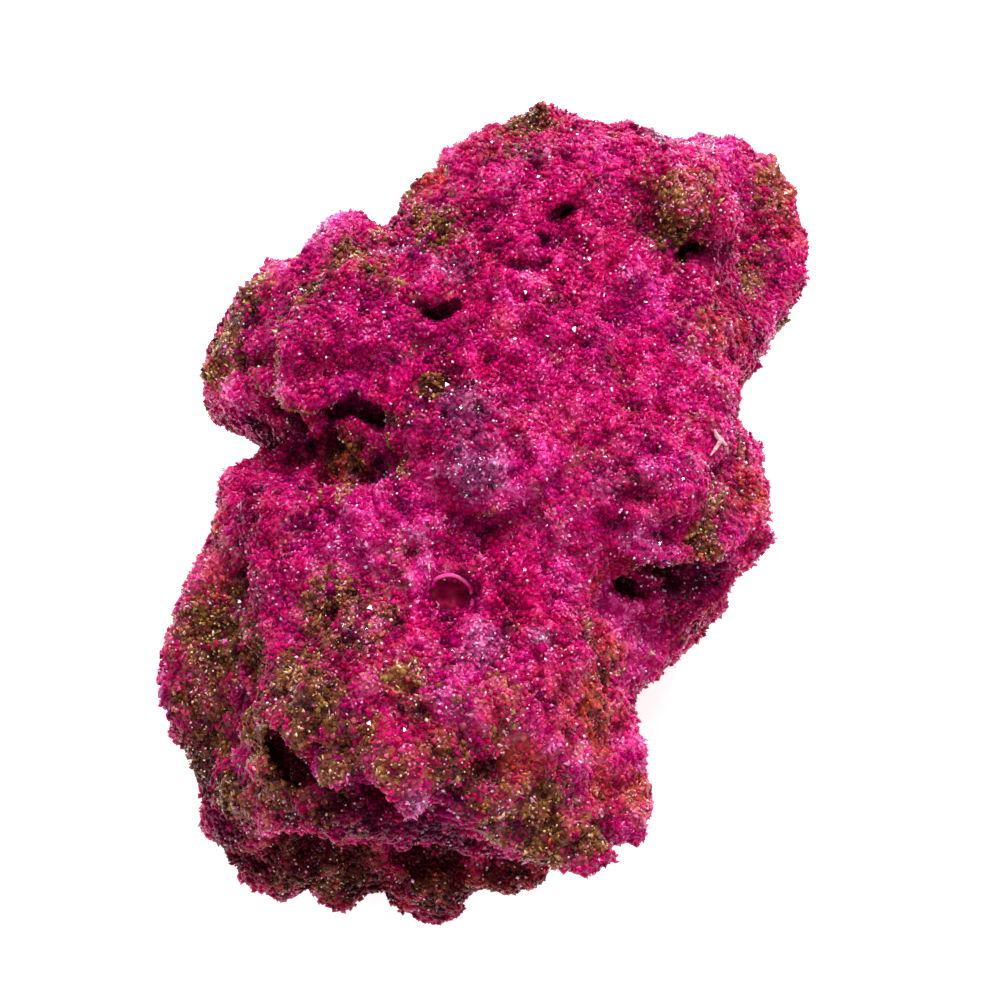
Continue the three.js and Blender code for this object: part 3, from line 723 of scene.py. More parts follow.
def fields_of(rock, frame_of_bubble):
    """Stores where the crusts and patches are, and the tone with its painted shade and highlight,
    as numbers on the rock's points.
    """
    mesh = rock.data
    tree = tree_of(mesh)
    points = points_of(mesh)
    facing = normals_of(mesh)
    strayed = points + waver(points, 60, *PATCH_WAVER)

    def patches(places):
        mask = np.zeros(len(points))
        for u, v, radius, strength in places:
            hit, _ = spot_on(tree, u, v)
            if hit is None:
                continue
            away = radii_from(strayed, hit, radius)
            mask = np.maximum(mask, strength * (1 - smooth_step(*PATCH_EDGE, away)))
        return mask

    def noise(seed, length):
        return noise_on(points, seed, length)

    hidden = 1 - smooth_step(*HIDDEN_EDGE, facing @ np.array(VIEW_BACK))
    wild = smooth_step(*WILD_EDGE, noise(70, 13) + 0.35 * noise(71, 4))
    olive = np.maximum(patches(OLIVE_CRUSTS), wild * hidden * HIDDEN_OLIVE)
    olive = np.maximum(olive, THIN_OLIVE * smooth_step(*THIN_EDGE, noise(73, 5)))
    frost = patches(CLEAR_PATCHES)
    clear = frost * FROST_CLEAR
    amber = HIDDEN_AMBER * smooth_step(*AMBER_EDGE, noise(72, 11)) * hidden
    amber = np.maximum(patches(AMBER_PATCHES), amber)
    sky = openness(points, facing, tree)
    fields = {
        "rose_and_highlight": patches(ROSE_AND_HIGHLIGHT_PATCHES),
        "wine_and_shade": patches(WINE_AND_SHADE_PATCHES),
        "amber": amber,
        # The height out of the mass and the open sky, which paint highlight on lumps, shade in
        # recesses, and light that lifts the deepest holes:
        "proud": np.clip(standing_out(rock) / MM, *PROUD_RANGE),
        "dark": 1 - smooth_step(*HOLLOW_SHADE_EDGE, sky),
        "deep": 1 - smooth_step(*DEEP_EDGE, sky),
        "mottle": noise(81, 4.5),
        "broad": noise(83, 9),
        "fine": noise(84, 3.5),
    }
    tone = TONE_MIDDLE
    for name, weight in TONE_OF.items():
        tone = tone + weight * fields[name]
    hue = HUE_MIDDLE
    for name, weight in HUE_OF.items():
        hue = hue + weight * fields[name]
    under = 1 - smooth_step(*UNDER_EDGE, facing[:, 2])
    # The pale tips paint glints: they gather in flocks and on crusts, and are thinned out in
    # recesses, on downward faces and in hollows, where glints would lie in shade.
    flocks = smooth_step(*FLOCK_EDGE, noise(85, 6) + 0.7 * noise(87, 1.8))
    spark = FEW_TIPS + (1 - FEW_TIPS) * flocks
    spark = np.maximum(spark, OLIVE_TIPS * olive) * (1 - DARK_TIPS * fields["dark"])
    spark = spark * (1 - UNDER_TIPS * under) * smooth_step(*TIPS_EDGE, fields["proud"])
    film = smooth_step(*FILM_EDGE, noise(86, 3.2)) * (1 - clear)
    away = radii_from(points, frame_of_bubble[0], BUBBLE_RADIUS)
    outside = smooth_step(*BUBBLE_BARE, away + covered(points, frame_of_bubble))
    set_attribute(mesh, "olive", olive * (1 - FROST_OVER_OLIVE * frost))
    set_attribute(mesh, "frost", frost)
    set_attribute(mesh, "amber", amber)
    set_attribute(mesh, "tone_here", tone)
    set_attribute(mesh, "hue_here", np.clip(hue, 0, 1))
    set_attribute(mesh, "cover", (1 - UNDER_BARE * under) * (1 - FILM_BARE * film) * outside)
    set_attribute(mesh, "sparkle", np.clip(spark + FROST_TIPS * frost, 0, 1) * outside)
    set_attribute(mesh, "upto_none", np.zeros(len(points)))
    set_attribute(mesh, "upto_clear", clear)
    set_attribute(mesh, "upto_flat", clear + (1 - clear) * FLAT_SHARE)
    set_attribute(mesh, "upto_all", np.ones(len(points)) * 1.01)


# ------------------------------------------------------------------ crystals


def crystal(name, sides, tip, foot, waist, smooth=True):
    """A crystal one unit across, standing on +Z: two pyramids base to base."""
    rim = [(waist * 0.5 * math.cos(2 * math.pi * i / sides),
            waist * 0.5 * math.sin(2 * math.pi * i / sides), 0) for i in range(sides)]
    vertices = rim + [(0, 0, tip), (0, 0, -foot)]
    faces = []
    for i in range(sides):
        j = (i + 1) % sides
        faces.append((i, j, sides))
        faces.append((j, i, sides + 1))
    mesh = bpy.data.meshes.new(name)
    mesh.from_pydata(vertices, [], faces)
    shade_smooth(mesh, smooth)
    return link(bpy.data.objects.new(name, mesh))


class Tree:
    """A Geometry Nodes tree with named inputs, written out as it is built."""

    def __init__(self, name):
        self.group = bpy.data.node_groups.new(name, "GeometryNodeTree")
        self.interface = self.group.interface
        self.interface.new_socket("Geometry", in_out="INPUT", socket_type="NodeSocketGeometry")
        self.interface.new_socket("Geometry", in_out="OUTPUT", socket_type="NodeSocketGeometry")
        self.start = self.group.nodes.new("NodeGroupInput")
        self.end = self.group.nodes.new("NodeGroupOutput")

    def input(self, name, kind):
        self.interface.new_socket(name, in_out="INPUT", socket_type="NodeSocket" + kind)
        return self.start.outputs[name]

    def node(self, kind, settings=None, **inputs):
        made = self.group.nodes.new(kind)
        for key, value in (settings or {}).items():
            setattr(made, key, value)
        for key, value in inputs.items():
            name = key.replace("_", " ")
            self.feed([s for s in made.inputs if s.name == name and s.enabled][0], value)
        return made

    def feed(self, socket, value):
        if isinstance(value, bpy.types.NodeSocket):
            self.group.links.new(value, socket)
        else:
            socket.default_value = value

    def two(self, kind, operation, first, second):
        """A node whose two inputs share one name."""
        made = self.node(kind, {"operation": operation})
        for socket, value in zip(made.inputs, (first, second)):
            self.feed(socket, value)
        return made.outputs[0]

    def math(self, operation, first, second):
        return self.two("ShaderNodeMath", operation, first, second)

    def plus(self, total, *others):
        for other in others:
            total = self.math("ADD", total, other)
        return total

    def minus(self, first, second):
        return self.math("SUBTRACT", first, second)

    def times(self, first, second):
        return self.math("MULTIPLY", first, second)

    def unit(self, value):
        """The value kept between 0 and 1."""
        return self.math("MINIMUM", self.math("MAXIMUM", value, 0.0), 1.0)

    def both(self, first, second):
        return self.two("FunctionNodeBooleanMath", "AND", first, second)

    def compare(self, operation, first, second):
        settings = {"data_type": "FLOAT", "operation": operation}
        return self.node("FunctionNodeCompare", settings, A=first, B=second).outputs["Result"]

    def scaled(self, vector, amount):
        made = self.node("ShaderNodeVectorMath", {"operation": "SCALE"}, Scale=amount)
        self.feed(made.inputs[0], vector)
        return made.outputs["Vector"]

    def named(self, name):
        """A number that is stored on the surface."""
        settings = {"data_type": "FLOAT"}
        made = self.node("GeometryNodeInputNamedAttribute", settings, Name=name)
        return made.outputs["Attribute"]

    def stored(self, points, name, value):
        settings = {"data_type": "FLOAT", "domain": "POINT"}
        made = self.node("GeometryNodeStoreNamedAttribute", settings,
                         Geometry=points, Name=name, Value=value)
        return made.outputs["Geometry"]

    def ripple(self, length, seed, height):
        """Smooth noise in lumps of the given length, up to about the given height each way."""
        noise = self.node("ShaderNodeTexNoise", {"noise_dimensions": "4D"}, W=seed * 7.3,
                          Scale=1 / length, Detail=1.0, Roughness=0.5)
        wave = self.times(self.minus(noise.outputs[0], 0.5), 4.0)
        return self.times(wave, height)

    def random(self, low, high, seed):
        settings = {"data_type": "FLOAT"}
        made = self.node("FunctionNodeRandomValue", settings, Min=low, Max=high, Seed=seed)
        return [s for s in made.outputs if s.enabled][0]

    def random_vector(self, ranges, seed, first):
        """Three numbers drawn from their ranges, each by a seed of its own."""
        x, y, z = [self.random(low, high, self.plus(seed, first + k))
                   for k, (low, high) in enumerate(ranges)]
        return self.node("ShaderNodeCombineXYZ", X=x, Y=y, Z=z).outputs["Vector"]


FLOCK_LENGTH = 1.6 * MM     # how wide a group of like crystals is
CLUMP_LENGTH = 1.9 * MM     # how wide the small clumps are that rise together
CRUST_LENGTH = 1.3 * MM     # how wide the specks of crust are
CLUMP_LIFT = 0.20 * MM
CLUMP_TONE = 0.38
CLUMP_SHRINK = 0.35         # how much smaller the crystals of a pale clump are
CRUST_SHRINK = 0.12
SIZE_LUCK = (0.7, 1.3)
FLOCK_HUE = 0.45
STRAY = 0.22 * MM

# What each crystal takes from noise, from the patch that it stands in, and from its own luck.
CRUST_NOISE, CRUST_PATCH, CRUST_LUCK = 1.1, 1.35, (-0.18, 0.18)
CRUST_START, CRUST_STEEPNESS = 0.72, 3.0
CRUST_TONE_LUCK = (-0.38, 0.30)
AMBER_NOISE, AMBER_PATCH, AMBER_LUCK = 0.5, 1.3, (-0.45, 0.05)
FROST_NOISE, FROST_PATCH, FROST_LUCK = 0.35, 1.15, (-0.70, 0.15)

DRUSE_INPUTS = [
    ("Spacing", "Float"), ("Density", "Float"), ("Cover", "String"), ("Crystal", "Object"),
    ("Size", "Float"), ("Size Spread", "Float"), ("Tilt", "Float"), ("Raised", "Float"),
    ("From", "String"), ("To", "String"), ("Least Tone", "Float"), ("Most Tone", "Float"),
    ("Tone Scatter", "Float"), ("Places Seed", "Int"), ("Seed", "Int"), ("Material", "Material"),
]


def druse_tree():
    """Grows crystals over a surface, where the lottery of that place falls to them."""
    tree = Tree("grow_druse")
    asked = {name: tree.input(name, kind) for name, kind in DRUSE_INPUTS}
    spread_out = tree.node("GeometryNodeDistributePointsOnFaces", {"distribute_method": "POISSON"},
                           Mesh=tree.start.outputs["Geometry"], Distance_Min=asked["Spacing"],
                           Density_Max=asked["Density"], Seed=asked["Places Seed"],
                           Density_Factor=tree.named(asked["Cover"]))
    upright = spread_out.outputs["Rotation"]

    # What each crystal is like.
    fate = tree.random(0.001, 1.0, 11)
    scatter = asked["Tone Scatter"]
    stray = tree.random(tree.times(scatter, -0.5), tree.times(scatter, 0.5), 12)
    clump = tree.ripple(CLUMP_LENGTH, 2, 1.0)
    tone = tree.plus(tree.named("tone_here"), tree.plus(tree.times(clump, CLUMP_TONE), stray))
    tone = tree.plus(tone, tree.times(tree.random(*CRUST_TONE_LUCK, 17), tree.named("olive")))
    hue = tree.plus(tree.named("hue_here"), tree.ripple(FLOCK_LENGTH, 3, FLOCK_HUE))
    crust = tree.plus(tree.ripple(CRUST_LENGTH, 4, CRUST_NOISE), CRUST_PATCH)
    crust = tree.plus(tree.times(crust, tree.named("olive")), tree.random(*CRUST_LUCK, 13))
    crust = tree.unit(tree.times(tree.minus(crust, CRUST_START), CRUST_STEEPNESS))
    amber = tree.plus(tree.ripple(CRUST_LENGTH, 5, AMBER_NOISE),
                      tree.times(tree.named("amber"), AMBER_PATCH),
                      tree.random(*AMBER_LUCK, 18))
    frost = tree.plus(tree.ripple(CRUST_LENGTH, 6, FROST_NOISE), tree.random(*FROST_LUCK, 19),
                      tree.times(tree.named("frost"), FROST_PATCH))
    points = spread_out.outputs["Points"]
    for name, value in [("tone", tone), ("hue", hue), ("crust", crust),
                        ("amber", tree.unit(amber)), ("frost", tree.unit(frost)),
                        ("lot", tree.random(0.0, 1.0, 14))]:
        points = tree.stored(points, name, value)

    # Which of them stay, and where.
    keep = tree.compare("GREATER_EQUAL", fate, tree.named(asked["From"]))
    for test in [tree.compare("LESS_THAN", fate, tree.named(asked["To"])),
                 tree.compare("GREATER_EQUAL", tone, asked["Least Tone"]),
                 tree.compare("LESS_THAN", tone, asked["Most Tone"])]:
        keep = tree.both(keep, test)
    kept = tree.node("GeometryNodeSeparateGeometry", {"domain": "POINT"}, Geometry=points,
                     Selection=keep)
    up = tree.node("FunctionNodeRotateVector", Rotation=upright, Vector=(0, 0, 1))
    height = tree.plus(tree.times(clump, CLUMP_LIFT), asked["Raised"])
    astray = tree.node("FunctionNodeRandomValue", {"data_type": "FLOAT_VECTOR"}, Seed=15,
                       Min=(-STRAY, -STRAY, -STRAY), Max=(STRAY, STRAY, STRAY))
    shift = tree.two("ShaderNodeVectorMath", "ADD", tree.scaled(up.outputs["Vector"], height),
                     astray.outputs[0])
    lifted = tree.node("GeometryNodeSetPosition", Geometry=kept.outputs["Selection"], Offset=shift)

    # How each is turned and how big it is.
    tilt = (tree.times(asked["Tilt"], -1.0), asked["Tilt"])
    lean = tree.random_vector([tilt, tilt, (-math.pi, math.pi)], asked["Seed"], 100)
    turned = tree.node("FunctionNodeRotateRotation", {"rotation_space": "LOCAL"},
                       Rotation=upright, Rotate_By=lean)
    sizes = (tree.minus(asked["Size"], asked["Size Spread"]),
             tree.plus(asked["Size"], asked["Size Spread"]))
    swell = tree.minus(1.0, tree.times(clump, CLUMP_SHRINK))
    swell = tree.minus(swell, tree.times(crust, CRUST_SHRINK))
    swell = tree.times(swell, tree.random(*SIZE_LUCK, 16))
    scale = tree.scaled(tree.random_vector([sizes] * 3, asked["Seed"], 200), swell)
    shape = tree.node("GeometryNodeObjectInfo", Object=asked["Crystal"])
    placed = tree.node("GeometryNodeInstanceOnPoints", Points=lifted.outputs["Geometry"],
                       Instance=shape.outputs["Geometry"], Rotation=turned.outputs["Rotation"],
                       Scale=scale)
    real = tree.node("GeometryNodeRealizeInstances", Geometry=placed.outputs["Instances"])
    dressed = tree.node("GeometryNodeSetMaterial", Geometry=real.outputs["Geometry"],
                        Material=asked["Material"])
    tree.feed(tree.end.inputs["Geometry"], dressed.outputs["Geometry"])
    return tree.group


def grow(name, rock, tree, **inputs):
    """A piece of grains on the rock; those that would reach under the floor are pressed flat."""
    piece = link(bpy.data.objects.new(name, rock.data.copy()))
    modifier = piece.modifiers.new("druse", "NODES")
    modifier.node_group = tree
    for item in tree.interface.items_tree:
        if item.item_type == "SOCKET" and item.in_out == "INPUT" and item.name in inputs:
            modifier[item.identifier] = inputs[item.name]
    settled(piece)
    points = points_of(piece.data)
    points[:, 2] = np.maximum(points[:, 2], 0)
    move_points(piece.data, points)
    return piece


def one_cell_each(piece, faces_each):
    """Gives every crystal a small cell of its own in the map that its colour is kept in."""
    mesh = piece.data
    count = len(mesh.polygons) // faces_each
    across = math.ceil(math.sqrt(count))
    which = np.arange(len(mesh.loops)) // (3 * faces_each)
    corner = np.arange(len(mesh.loops)) % 3
    inset = np.array([[0.15, 0.15], [0.85, 0.15], [0.5, 0.85]])[corner]
    cell = np.stack([which % across, which // across], 1)
    layer = mesh.uv_layers.new(name="OFBake")
    layer.data.foreach_set("uv", ((cell + inset) / across).astype(np.float32).ravel())


# ------------------------------------------------------------------ materials

# Colours from dark to pale.
CRIMSON = [(0.0, (0.045, 0.0, 0.008)), (0.15, (0.13, 0.0, 0.02)), (0.35, (0.29, 0.0, 0.045)),
           (0.65, (0.49, 0.001, 0.095)), (0.85, (0.69, 0.03, 0.23)), (1.0, (0.88, 0.17, 0.44))]
PURPLE = [(0.0, (0.045, 0.0, 0.02)), (0.15, (0.11, 0.0, 0.045)), (0.35, (0.25, 0.0, 0.10)),
          (0.65, (0.44, 0.003, 0.165)), (0.85, (0.63, 0.05, 0.31)), (1.0, (0.84, 0.22, 0.53))]
AMBER = [(0.0, (0.035, 0.002, 0.003)), (0.35, (0.21, 0.008, 0.010)), (0.65, (0.47, 0.050, 0.022)),
         (1.0, (0.74, 0.20, 0.075))]
FROST = [(0.0, (0.04, 0.003, 0.02)), (0.35, (0.15, 0.012, 0.075)), (0.6, (0.32, 0.05, 0.18)),
         (0.8, (0.56, 0.22, 0.40)), (1.0, (0.88, 0.70, 0.80))]
OLIVE = [(0.0, (0.014, 0.004, 0.002)), (0.25, (0.065, 0.021, 0.006)),
         (0.45, (0.15, 0.058, 0.013)), (0.65, (0.28, 0.14, 0.030)),
         (0.85, (0.46, 0.30, 0.09)), (1.0, (0.72, 0.55, 0.30))]
# The pale tips' colours, which also paint their glints: pale pink to white, and gold on the
# crusts.
PALE_TIP_GLINT = [(0.0, (0.74, 0.14, 0.42)), (0.6, (0.82, 0.36, 0.60)), (1.0, (0.90, 0.74, 0.84))]
GOLD_TIP_GLINT = [(0.0, (0.42, 0.22, 0.06)), (0.5, (0.70, 0.46, 0.20)), (1.0, (0.84, 0.70, 0.50))]
SPLINTER = [(0.3, (0.62, 0.15, 0.24)), (0.7, (0.86, 0.50, 0.50))]
BOWL = [(0.30, (0.06, 0.0, 0.008)), (0.55, (0.24, 0.002, 0.040)), (0.80, (0.36, 0.04, 0.08))]
RIM = [(0.3, (0.58, 0.0, 0.17)), (0.7, (0.90, 0.14, 0.40))]
CLEAR = (0.93, 0.80, 0.90, 1)

PINK_GLOSS = (1.0, 0.22, 0.5)
PALE_GLOSS = (1, 0.8, 0.9)
BED_GLOSS = (1.0, 0.3, 0.6)
BOWL_GLOSS = (1.0, 0.3, 0.55)
SCATTER_RADIUS = (1.0, 0.2, 0.45)   # red light travels furthest within a grain
SCATTER_SCALE = 0.5 * MM
GRAIN_GLOW = 1.0            # how much of the light scatters within the grains
BOWL_GLOW = 0.6
FROST_WHITER = 0.5          # how much whiter frost makes a pale tip, a painted glint
BED_TONES = (0.8, 0.4)      # how dark the bed is against the crystals: bare, and crusted
SUGAR_TONES = (-0.30, 0.35) # what its grain adds
SUGAR_SCALE = 1900          # the grain of the bed under the crystals, per metre
SUGAR_HEIGHT = 0.25 * MM
SUGAR_STRENGTH = 0.7
SPLINTER_CLOUDS = 1500      # per metre
BOWL_CLOUDS = 700


def new_material(name):
    material = bpy.data.materials.new(name)
    material.use_nodes = True
    return material, material.node_tree, material.node_tree.nodes["Principled BSDF"]


def add_node(tree, kind, **settings):
    made = tree.nodes.new(kind)
    for key, value in settings.items():
        setattr(made, key, value)
    return made


def set_inputs(node, **values):
    for key, value in values.items():
        node.inputs[key.replace("_", " ")].default_value = value


def ramp(tree, source, stops):
    made = add_node(tree, "ShaderNodeValToRGB")
    stop = made.color_ramp.elements
    while len(stop) < len(stops):
        stop.new(0.5)
    for element, (place, colour) in zip(stop, stops):
        element.position = place
        element.color = (*colour, 1)
    tree.links.new(source, made.inputs["Fac"])
    return made.outputs["Color"]


def attribute(tree, name):
    return add_node(tree, "ShaderNodeAttribute", attribute_name=name).outputs["Fac"]


def blend(tree, share, first, second):
    made = add_node(tree, "ShaderNodeMix", data_type="RGBA")
    tree.links.new(share, made.inputs["Factor"])
    tree.links.new(first, made.inputs[6])
    tree.links.new(second, made.inputs[7])
    return made.outputs[2]


def pattern(tree, kind, scale):
    """A pattern that is fixed to the piece."""
    made = add_node(tree, kind)
    set_inputs(made, Scale=scale)
    where = add_node(tree, "ShaderNodeTexCoord").outputs["Object"]
    tree.links.new(where, made.inputs["Vector"])
    return made.outputs


def between(tree, source, low, high):
    """The source, from 0 to 1, stretched to run from low to high."""
    made = add_node(tree, "ShaderNodeMapRange")
    set_inputs(made, To_Min=low, To_Max=high)
    tree.links.new(source, made.inputs["Value"])
    return made.outputs["Result"]


def of_two(tree, operation, first, second):
    made = add_node(tree, "ShaderNodeMath", operation=operation)
    tree.links.new(first, made.inputs[0])
    tree.links.new(second, made.inputs[1])
    return made.outputs["Value"]


def ruby_tint():
    """The druse's colour by place: crimson, purple, amber, frost or olive, darker by tone."""
    tree = bpy.data.node_groups.new("ruby_tint", "ShaderNodeTree")
    for name in ("Tone", "Purple", "Amber", "Frost", "Crust"):
        tree.interface.new_socket(name, in_out="INPUT", socket_type="NodeSocketFloat")
    tree.interface.new_socket("Color", in_out="OUTPUT", socket_type="NodeSocketColor")
    start = tree.nodes.new("NodeGroupInput").outputs
    end = tree.nodes.new("NodeGroupOutput")
    colour = ramp(tree, start["Tone"], CRIMSON)
    for share, stops in [("Purple", PURPLE), ("Amber", AMBER), ("Frost", FROST),
                         ("Crust", OLIVE)]:
        colour = blend(tree, start[share], colour, ramp(tree, start["Tone"], stops))
    tree.links.new(colour, end.inputs["Color"])
    return tree


def ruby_colour(tree, tint, tone, hue="hue", crust="crust"):
    made = add_node(tree, "ShaderNodeGroup", node_tree=tint)
    tree.links.new(tone, made.inputs["Tone"])
    tree.links.new(attribute(tree, hue), made.inputs["Purple"])
    tree.links.new(attribute(tree, "amber"), made.inputs["Amber"])
    tree.links.new(attribute(tree, "frost"), made.inputs["Frost"])
    tree.links.new(attribute(tree, crust), made.inputs["Crust"])
    return made.outputs["Color"]


def glassy(shader, roughness, specular, glow=0.0, ior=1.6, tint=(1, 1, 1)):
    set_inputs(shader, Roughness=roughness, IOR=ior, Specular_IOR_Level=specular,
               Specular_Tint=(*tint, 1), Subsurface_Weight=glow,
               Subsurface_Radius=SCATTER_RADIUS, Subsurface_Scale=SCATTER_SCALE)


def ruby_material(name, tint, roughness, specular, gloss):
    material, tree, shader = new_material(name)
    colour = ruby_colour(tree, tint, attribute(tree, "tone"))
    tree.links.new(colour, shader.inputs["Base Color"])
    glassy(shader, roughness, specular, GRAIN_GLOW, tint=gloss)
    return material


def clear_material():
    material, tree, shader = new_material("clear_crystal")
    glassy(shader, roughness=0.04, specular=0.5, ior=1.54)
    set_inputs(shader, Base_Color=CLEAR, Transmission_Weight=1.0)
    return material


# Pale tips whose colour paints the druse's glints as highlight, whiter in frost and gold on
# crusts.
def glint_tip_material():
    material, tree, shader = new_material("bright_tips")
    whiter = add_node(tree, "ShaderNodeMath", operation="MULTIPLY_ADD")
    tree.links.new(attribute(tree, "frost"), whiter.inputs[0])
    whiter.inputs[1].default_value = FROST_WHITER
    tree.links.new(attribute(tree, "lot"), whiter.inputs[2])
    pale = ramp(tree, whiter.outputs["Value"], PALE_TIP_GLINT)
    gold = ramp(tree, attribute(tree, "lot"), GOLD_TIP_GLINT)
    colour = blend(tree, attribute(tree, "crust"), pale, gold)
    tree.links.new(colour, shader.inputs["Base Color"])
    glassy(shader, roughness=0.12, specular=0.8)
    return material


def rock_material(tint):
    """The bed that shows between the crystals, darker where the crusts are."""
    material, tree, shader = new_material("druse_bed")
    sugar = pattern(tree, "ShaderNodeTexVoronoi", SUGAR_SCALE)
    deeper = between(tree, attribute(tree, "olive"), *BED_TONES)
    tone = of_two(tree, "MULTIPLY", attribute(tree, "tone_here"), deeper)
    tone = of_two(tree, "ADD", tone, between(tree, sugar["Color"], *SUGAR_TONES))
    colour = ruby_colour(tree, tint, tone, "hue_here", "olive")
    tree.links.new(colour, shader.inputs["Base Color"])
    bump = add_node(tree, "ShaderNodeBump")
    set_inputs(bump, Distance=SUGAR_HEIGHT, Strength=SUGAR_STRENGTH)
    tree.links.new(sugar["Distance"], bump.inputs["Height"])
    tree.links.new(bump.outputs["Normal"], shader.inputs["Normal"])
    glassy(shader, roughness=0.22, specular=0.4, tint=BED_GLOSS)
    return material


def splinter_material():
    material, tree, shader = new_material("pale_splinter")
    clouds = pattern(tree, "ShaderNodeTexNoise", SPLINTER_CLOUDS)["Fac"]
    tree.links.new(ramp(tree, clouds, SPLINTER), shader.inputs["Base Color"])
    glassy(shader, roughness=0.3, specular=0.4)
    return material


def bubble_material():
    material, tree, shader = new_material("bubble_glaze")
    clouds = pattern(tree, "ShaderNodeTexNoise", BOWL_CLOUDS)["Fac"]
    colour = blend(tree, attribute(tree, "edge"), ramp(tree, clouds, BOWL),
                   ramp(tree, clouds, RIM))
    tree.links.new(colour, shader.inputs["Base Color"])
    glassy(shader, roughness=0.30, specular=0.08, glow=BOWL_GLOW, tint=BOWL_GLOSS)
    return material


# ------------------------------------------------------------------ surroundings

ROOM_LIGHT = 0.45
ROOM_GLOSS = 0.09           # how bright the room is in a reflection
FLOOR_GLOW = 0.60
FLOOR_HALF = 8              # metres
FLOOR_COLOUR = (0.92, 0.92, 0.92, 1)
WHITE = (1, 1, 1, 1)
BOUNCES, DIFFUSE_BOUNCES, GLOSSY_BOUNCES = 6, 3, 2

# (name, place, width, power)
LAMPS = [
    ("key", (0.14, 0.52, 0.58), 0.34, 8.5),
    ("front_fill", (-0.15, -0.35, 0.75), 0.5, 1.0),
]
# Small lamps all round, which make the flat faces glint.
SPARKS = [(-0.30, -0.20, 0.75), (0.25, 0.25, 0.75), (0.05, -0.50, 0.60), (-0.25, 0.35, 0.70),
          (0.45, -0.05, 0.60)]
SPARK_WIDTH, SPARK_POWER = 0.02, 0.35


def add_light(name, place, width, power):
    data = bpy.data.lights.new(name, "AREA")
    data.shape = "DISK"
    data.size = width
    data.energy = power
    lamp = link(bpy.data.objects.new(name, data))
    aim = (AIM - Vector(place)).to_track_quat("-Z", "Y")
    lamp.matrix_world = Matrix.Translation(Vector(place)) @ aim.to_matrix().to_4x4()


def add_room():
    """A white room that is dimmer as a light, and dimmer still in a reflection."""
    world = bpy.data.worlds.new("room")
    world.use_nodes = True
    tree = world.node_tree
    backdrop = tree.nodes["Background"]
    set_inputs(backdrop, Color=WHITE)
    path = add_node(tree, "ShaderNodeLightPath")
    dimmed = between(tree, path.outputs["Is Glossy Ray"], ROOM_LIGHT, ROOM_GLOSS)
    seen = of_two(tree, "MAXIMUM", dimmed, path.outputs["Is Camera Ray"])
    tree.links.new(seen, backdrop.inputs["Strength"])
    bpy.context.scene.world = world


def add_floor():
    mesh = bpy.data.meshes.new("floor")
    corners = [(-1, -1), (1, -1), (1, 1), (-1, 1)]
    mesh.from_pydata([(FLOOR_HALF * x, FLOOR_HALF * y, 0) for x, y in corners], [],
                     [(0, 1, 2, 3)])
    material, tree, shader = new_material("pale_floor")
    set_inputs(shader, Base_Color=FLOOR_COLOUR, Roughness=0.9, Emission_Color=WHITE,
               Emission_Strength=FLOOR_GLOW)
    mesh.materials.append(material)
    link(bpy.data.objects.new("floor", mesh))


def add_surroundings():
    scene = bpy.context.scene
    scene.view_settings.view_transform = "Standard"
    scene.cycles.max_bounces = BOUNCES
    scene.cycles.diffuse_bounces = DIFFUSE_BOUNCES
    scene.cycles.glossy_bounces = GLOSSY_BOUNCES
    add_room()
    add_floor()
    for lamp in LAMPS:
        add_light(*lamp)
    for i, place in enumerate(SPARKS):
        add_light(f"spark_{i + 1}", place, SPARK_WIDTH, SPARK_POWER)


# ------------------------------------------------------------------ making it

ANY_DARKER, ANY_PALER = -9.0, 9.0   # past every tone
# The tone carries painted shade and highlight, so the darker classes gather in hollows and
# recesses and the paler ones on lumps and the highlight patches.
DRUSE = [
    # name, from tone, up to tone, size, spread, roughness, specular
    ("wine_grains", ANY_DARKER, 0.34, 1.03, 0.48, 0.25, 0.15),
    ("crimson_grains", 0.34, 0.54, 0.99, 0.48, 0.22, 0.20),
    ("magenta_grains", 0.54, 0.72, 0.90, 0.44, 0.20, 0.25),
    ("rose_grains", 0.72, ANY_PALER, 0.90, 0.40, 0.16, 0.42),
]
USUAL_DRUSE = {
    "Spacing": 0.48 * MM, "Density": 6.0e6, "Cover": "cover", "Tilt": 1.0, "Raised": 0.0,
    "Least Tone": ANY_DARKER, "Most Tone": ANY_PALER, "Tone Scatter": 0.32, "Places Seed": 7,
    "Seed": 1,
}
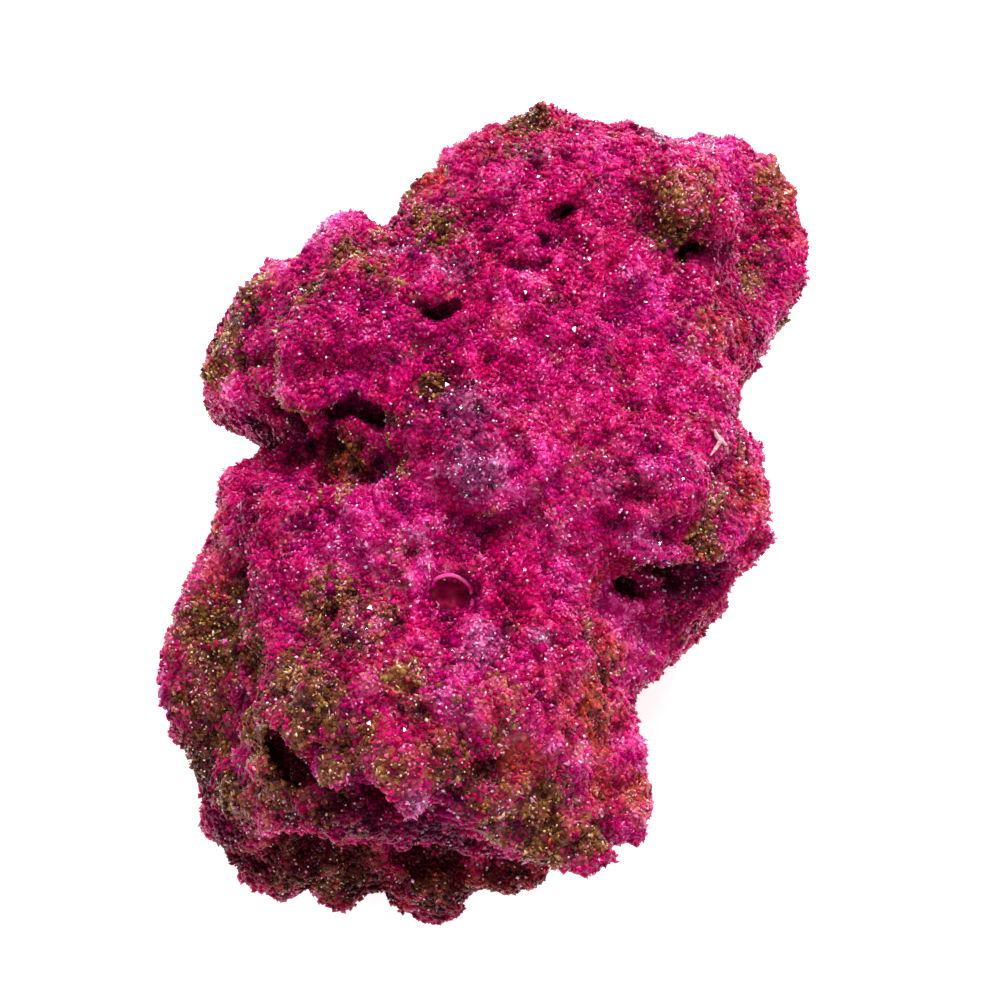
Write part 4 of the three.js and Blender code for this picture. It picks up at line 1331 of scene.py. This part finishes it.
# Pale tips, which also paint glints, are sparse and stand a little above the grains.
SPARSE_TIPS = {
    "Spacing": 0.4 * MM, "Density": 0.62e6, "Cover": "sparkle", "Raised": 0.25 * MM,
    "Places Seed": 70,
}


def grow_grains(rock):
    tree = druse_tree()
    tint = ruby_tint()
    nugget = crystal("nugget", sides=4, tip=0.46, foot=0.40, waist=1.0)
    needle = crystal("needle", sides=3, tip=0.68, foot=0.68, waist=0.64)
    plate = crystal("plate", sides=4, tip=0.34, foot=0.34, waist=1.0, smooth=False)
    grown = []

    def add(name, material, shape, low, high, size, spread, others=None):
        piece = grow(name, rock, tree, **{**USUAL_DRUSE, "Crystal": shape, "From": low,
                                          "To": high, "Size": size * MM,
                                          "Size Spread": spread * MM, "Material": material,
                                          **(others or {})})
        one_cell_each(piece, len(shape.data.polygons))
        grown.append(piece)

    for name, least, most, size, spread, roughness, specular in DRUSE:
        druse = name.replace("grains", "druse")
        material = ruby_material(druse, tint, roughness, specular, PINK_GLOSS)
        shape = needle if name == "rose_grains" else nugget
        add(name, material, shape, "upto_flat", "upto_all", size, spread,
            {"Least Tone": least, "Most Tone": most})
    flat = ruby_material("flat_druse", tint, roughness=0.08, specular=0.9, gloss=PALE_GLOSS)
    add("flat_grains", flat, plate, "upto_clear", "upto_flat", size=0.82, spread=0.30)
    add("clear_grains", clear_material(), plate, "upto_none", "upto_clear", size=0.9, spread=0.4)
    add("bright_tips", glint_tip_material(), nugget, "upto_none", "upto_all", size=0.42, spread=0.17,
        others=SPARSE_TIPS)
    for shape in (nugget, needle, plate):
        bpy.data.objects.remove(shape)
    rock.data.materials.clear()
    rock.data.materials.append(rock_material(tint))
    return grown


add_camera()
rock, frame_of_bubble = make_rock()
fields_of(rock, frame_of_bubble)
bubble = make_bubble(frame_of_bubble)
bubble.data.materials.append(bubble_material())
splinters = make_splinters(tree_of(rock.data))
splinters.data.materials.append(splinter_material())
grains = grow_grains(rock)
for piece in [rock, bubble, splinters, *grains]:
    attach(piece, BODY)
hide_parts(NODE)
add_surroundings()
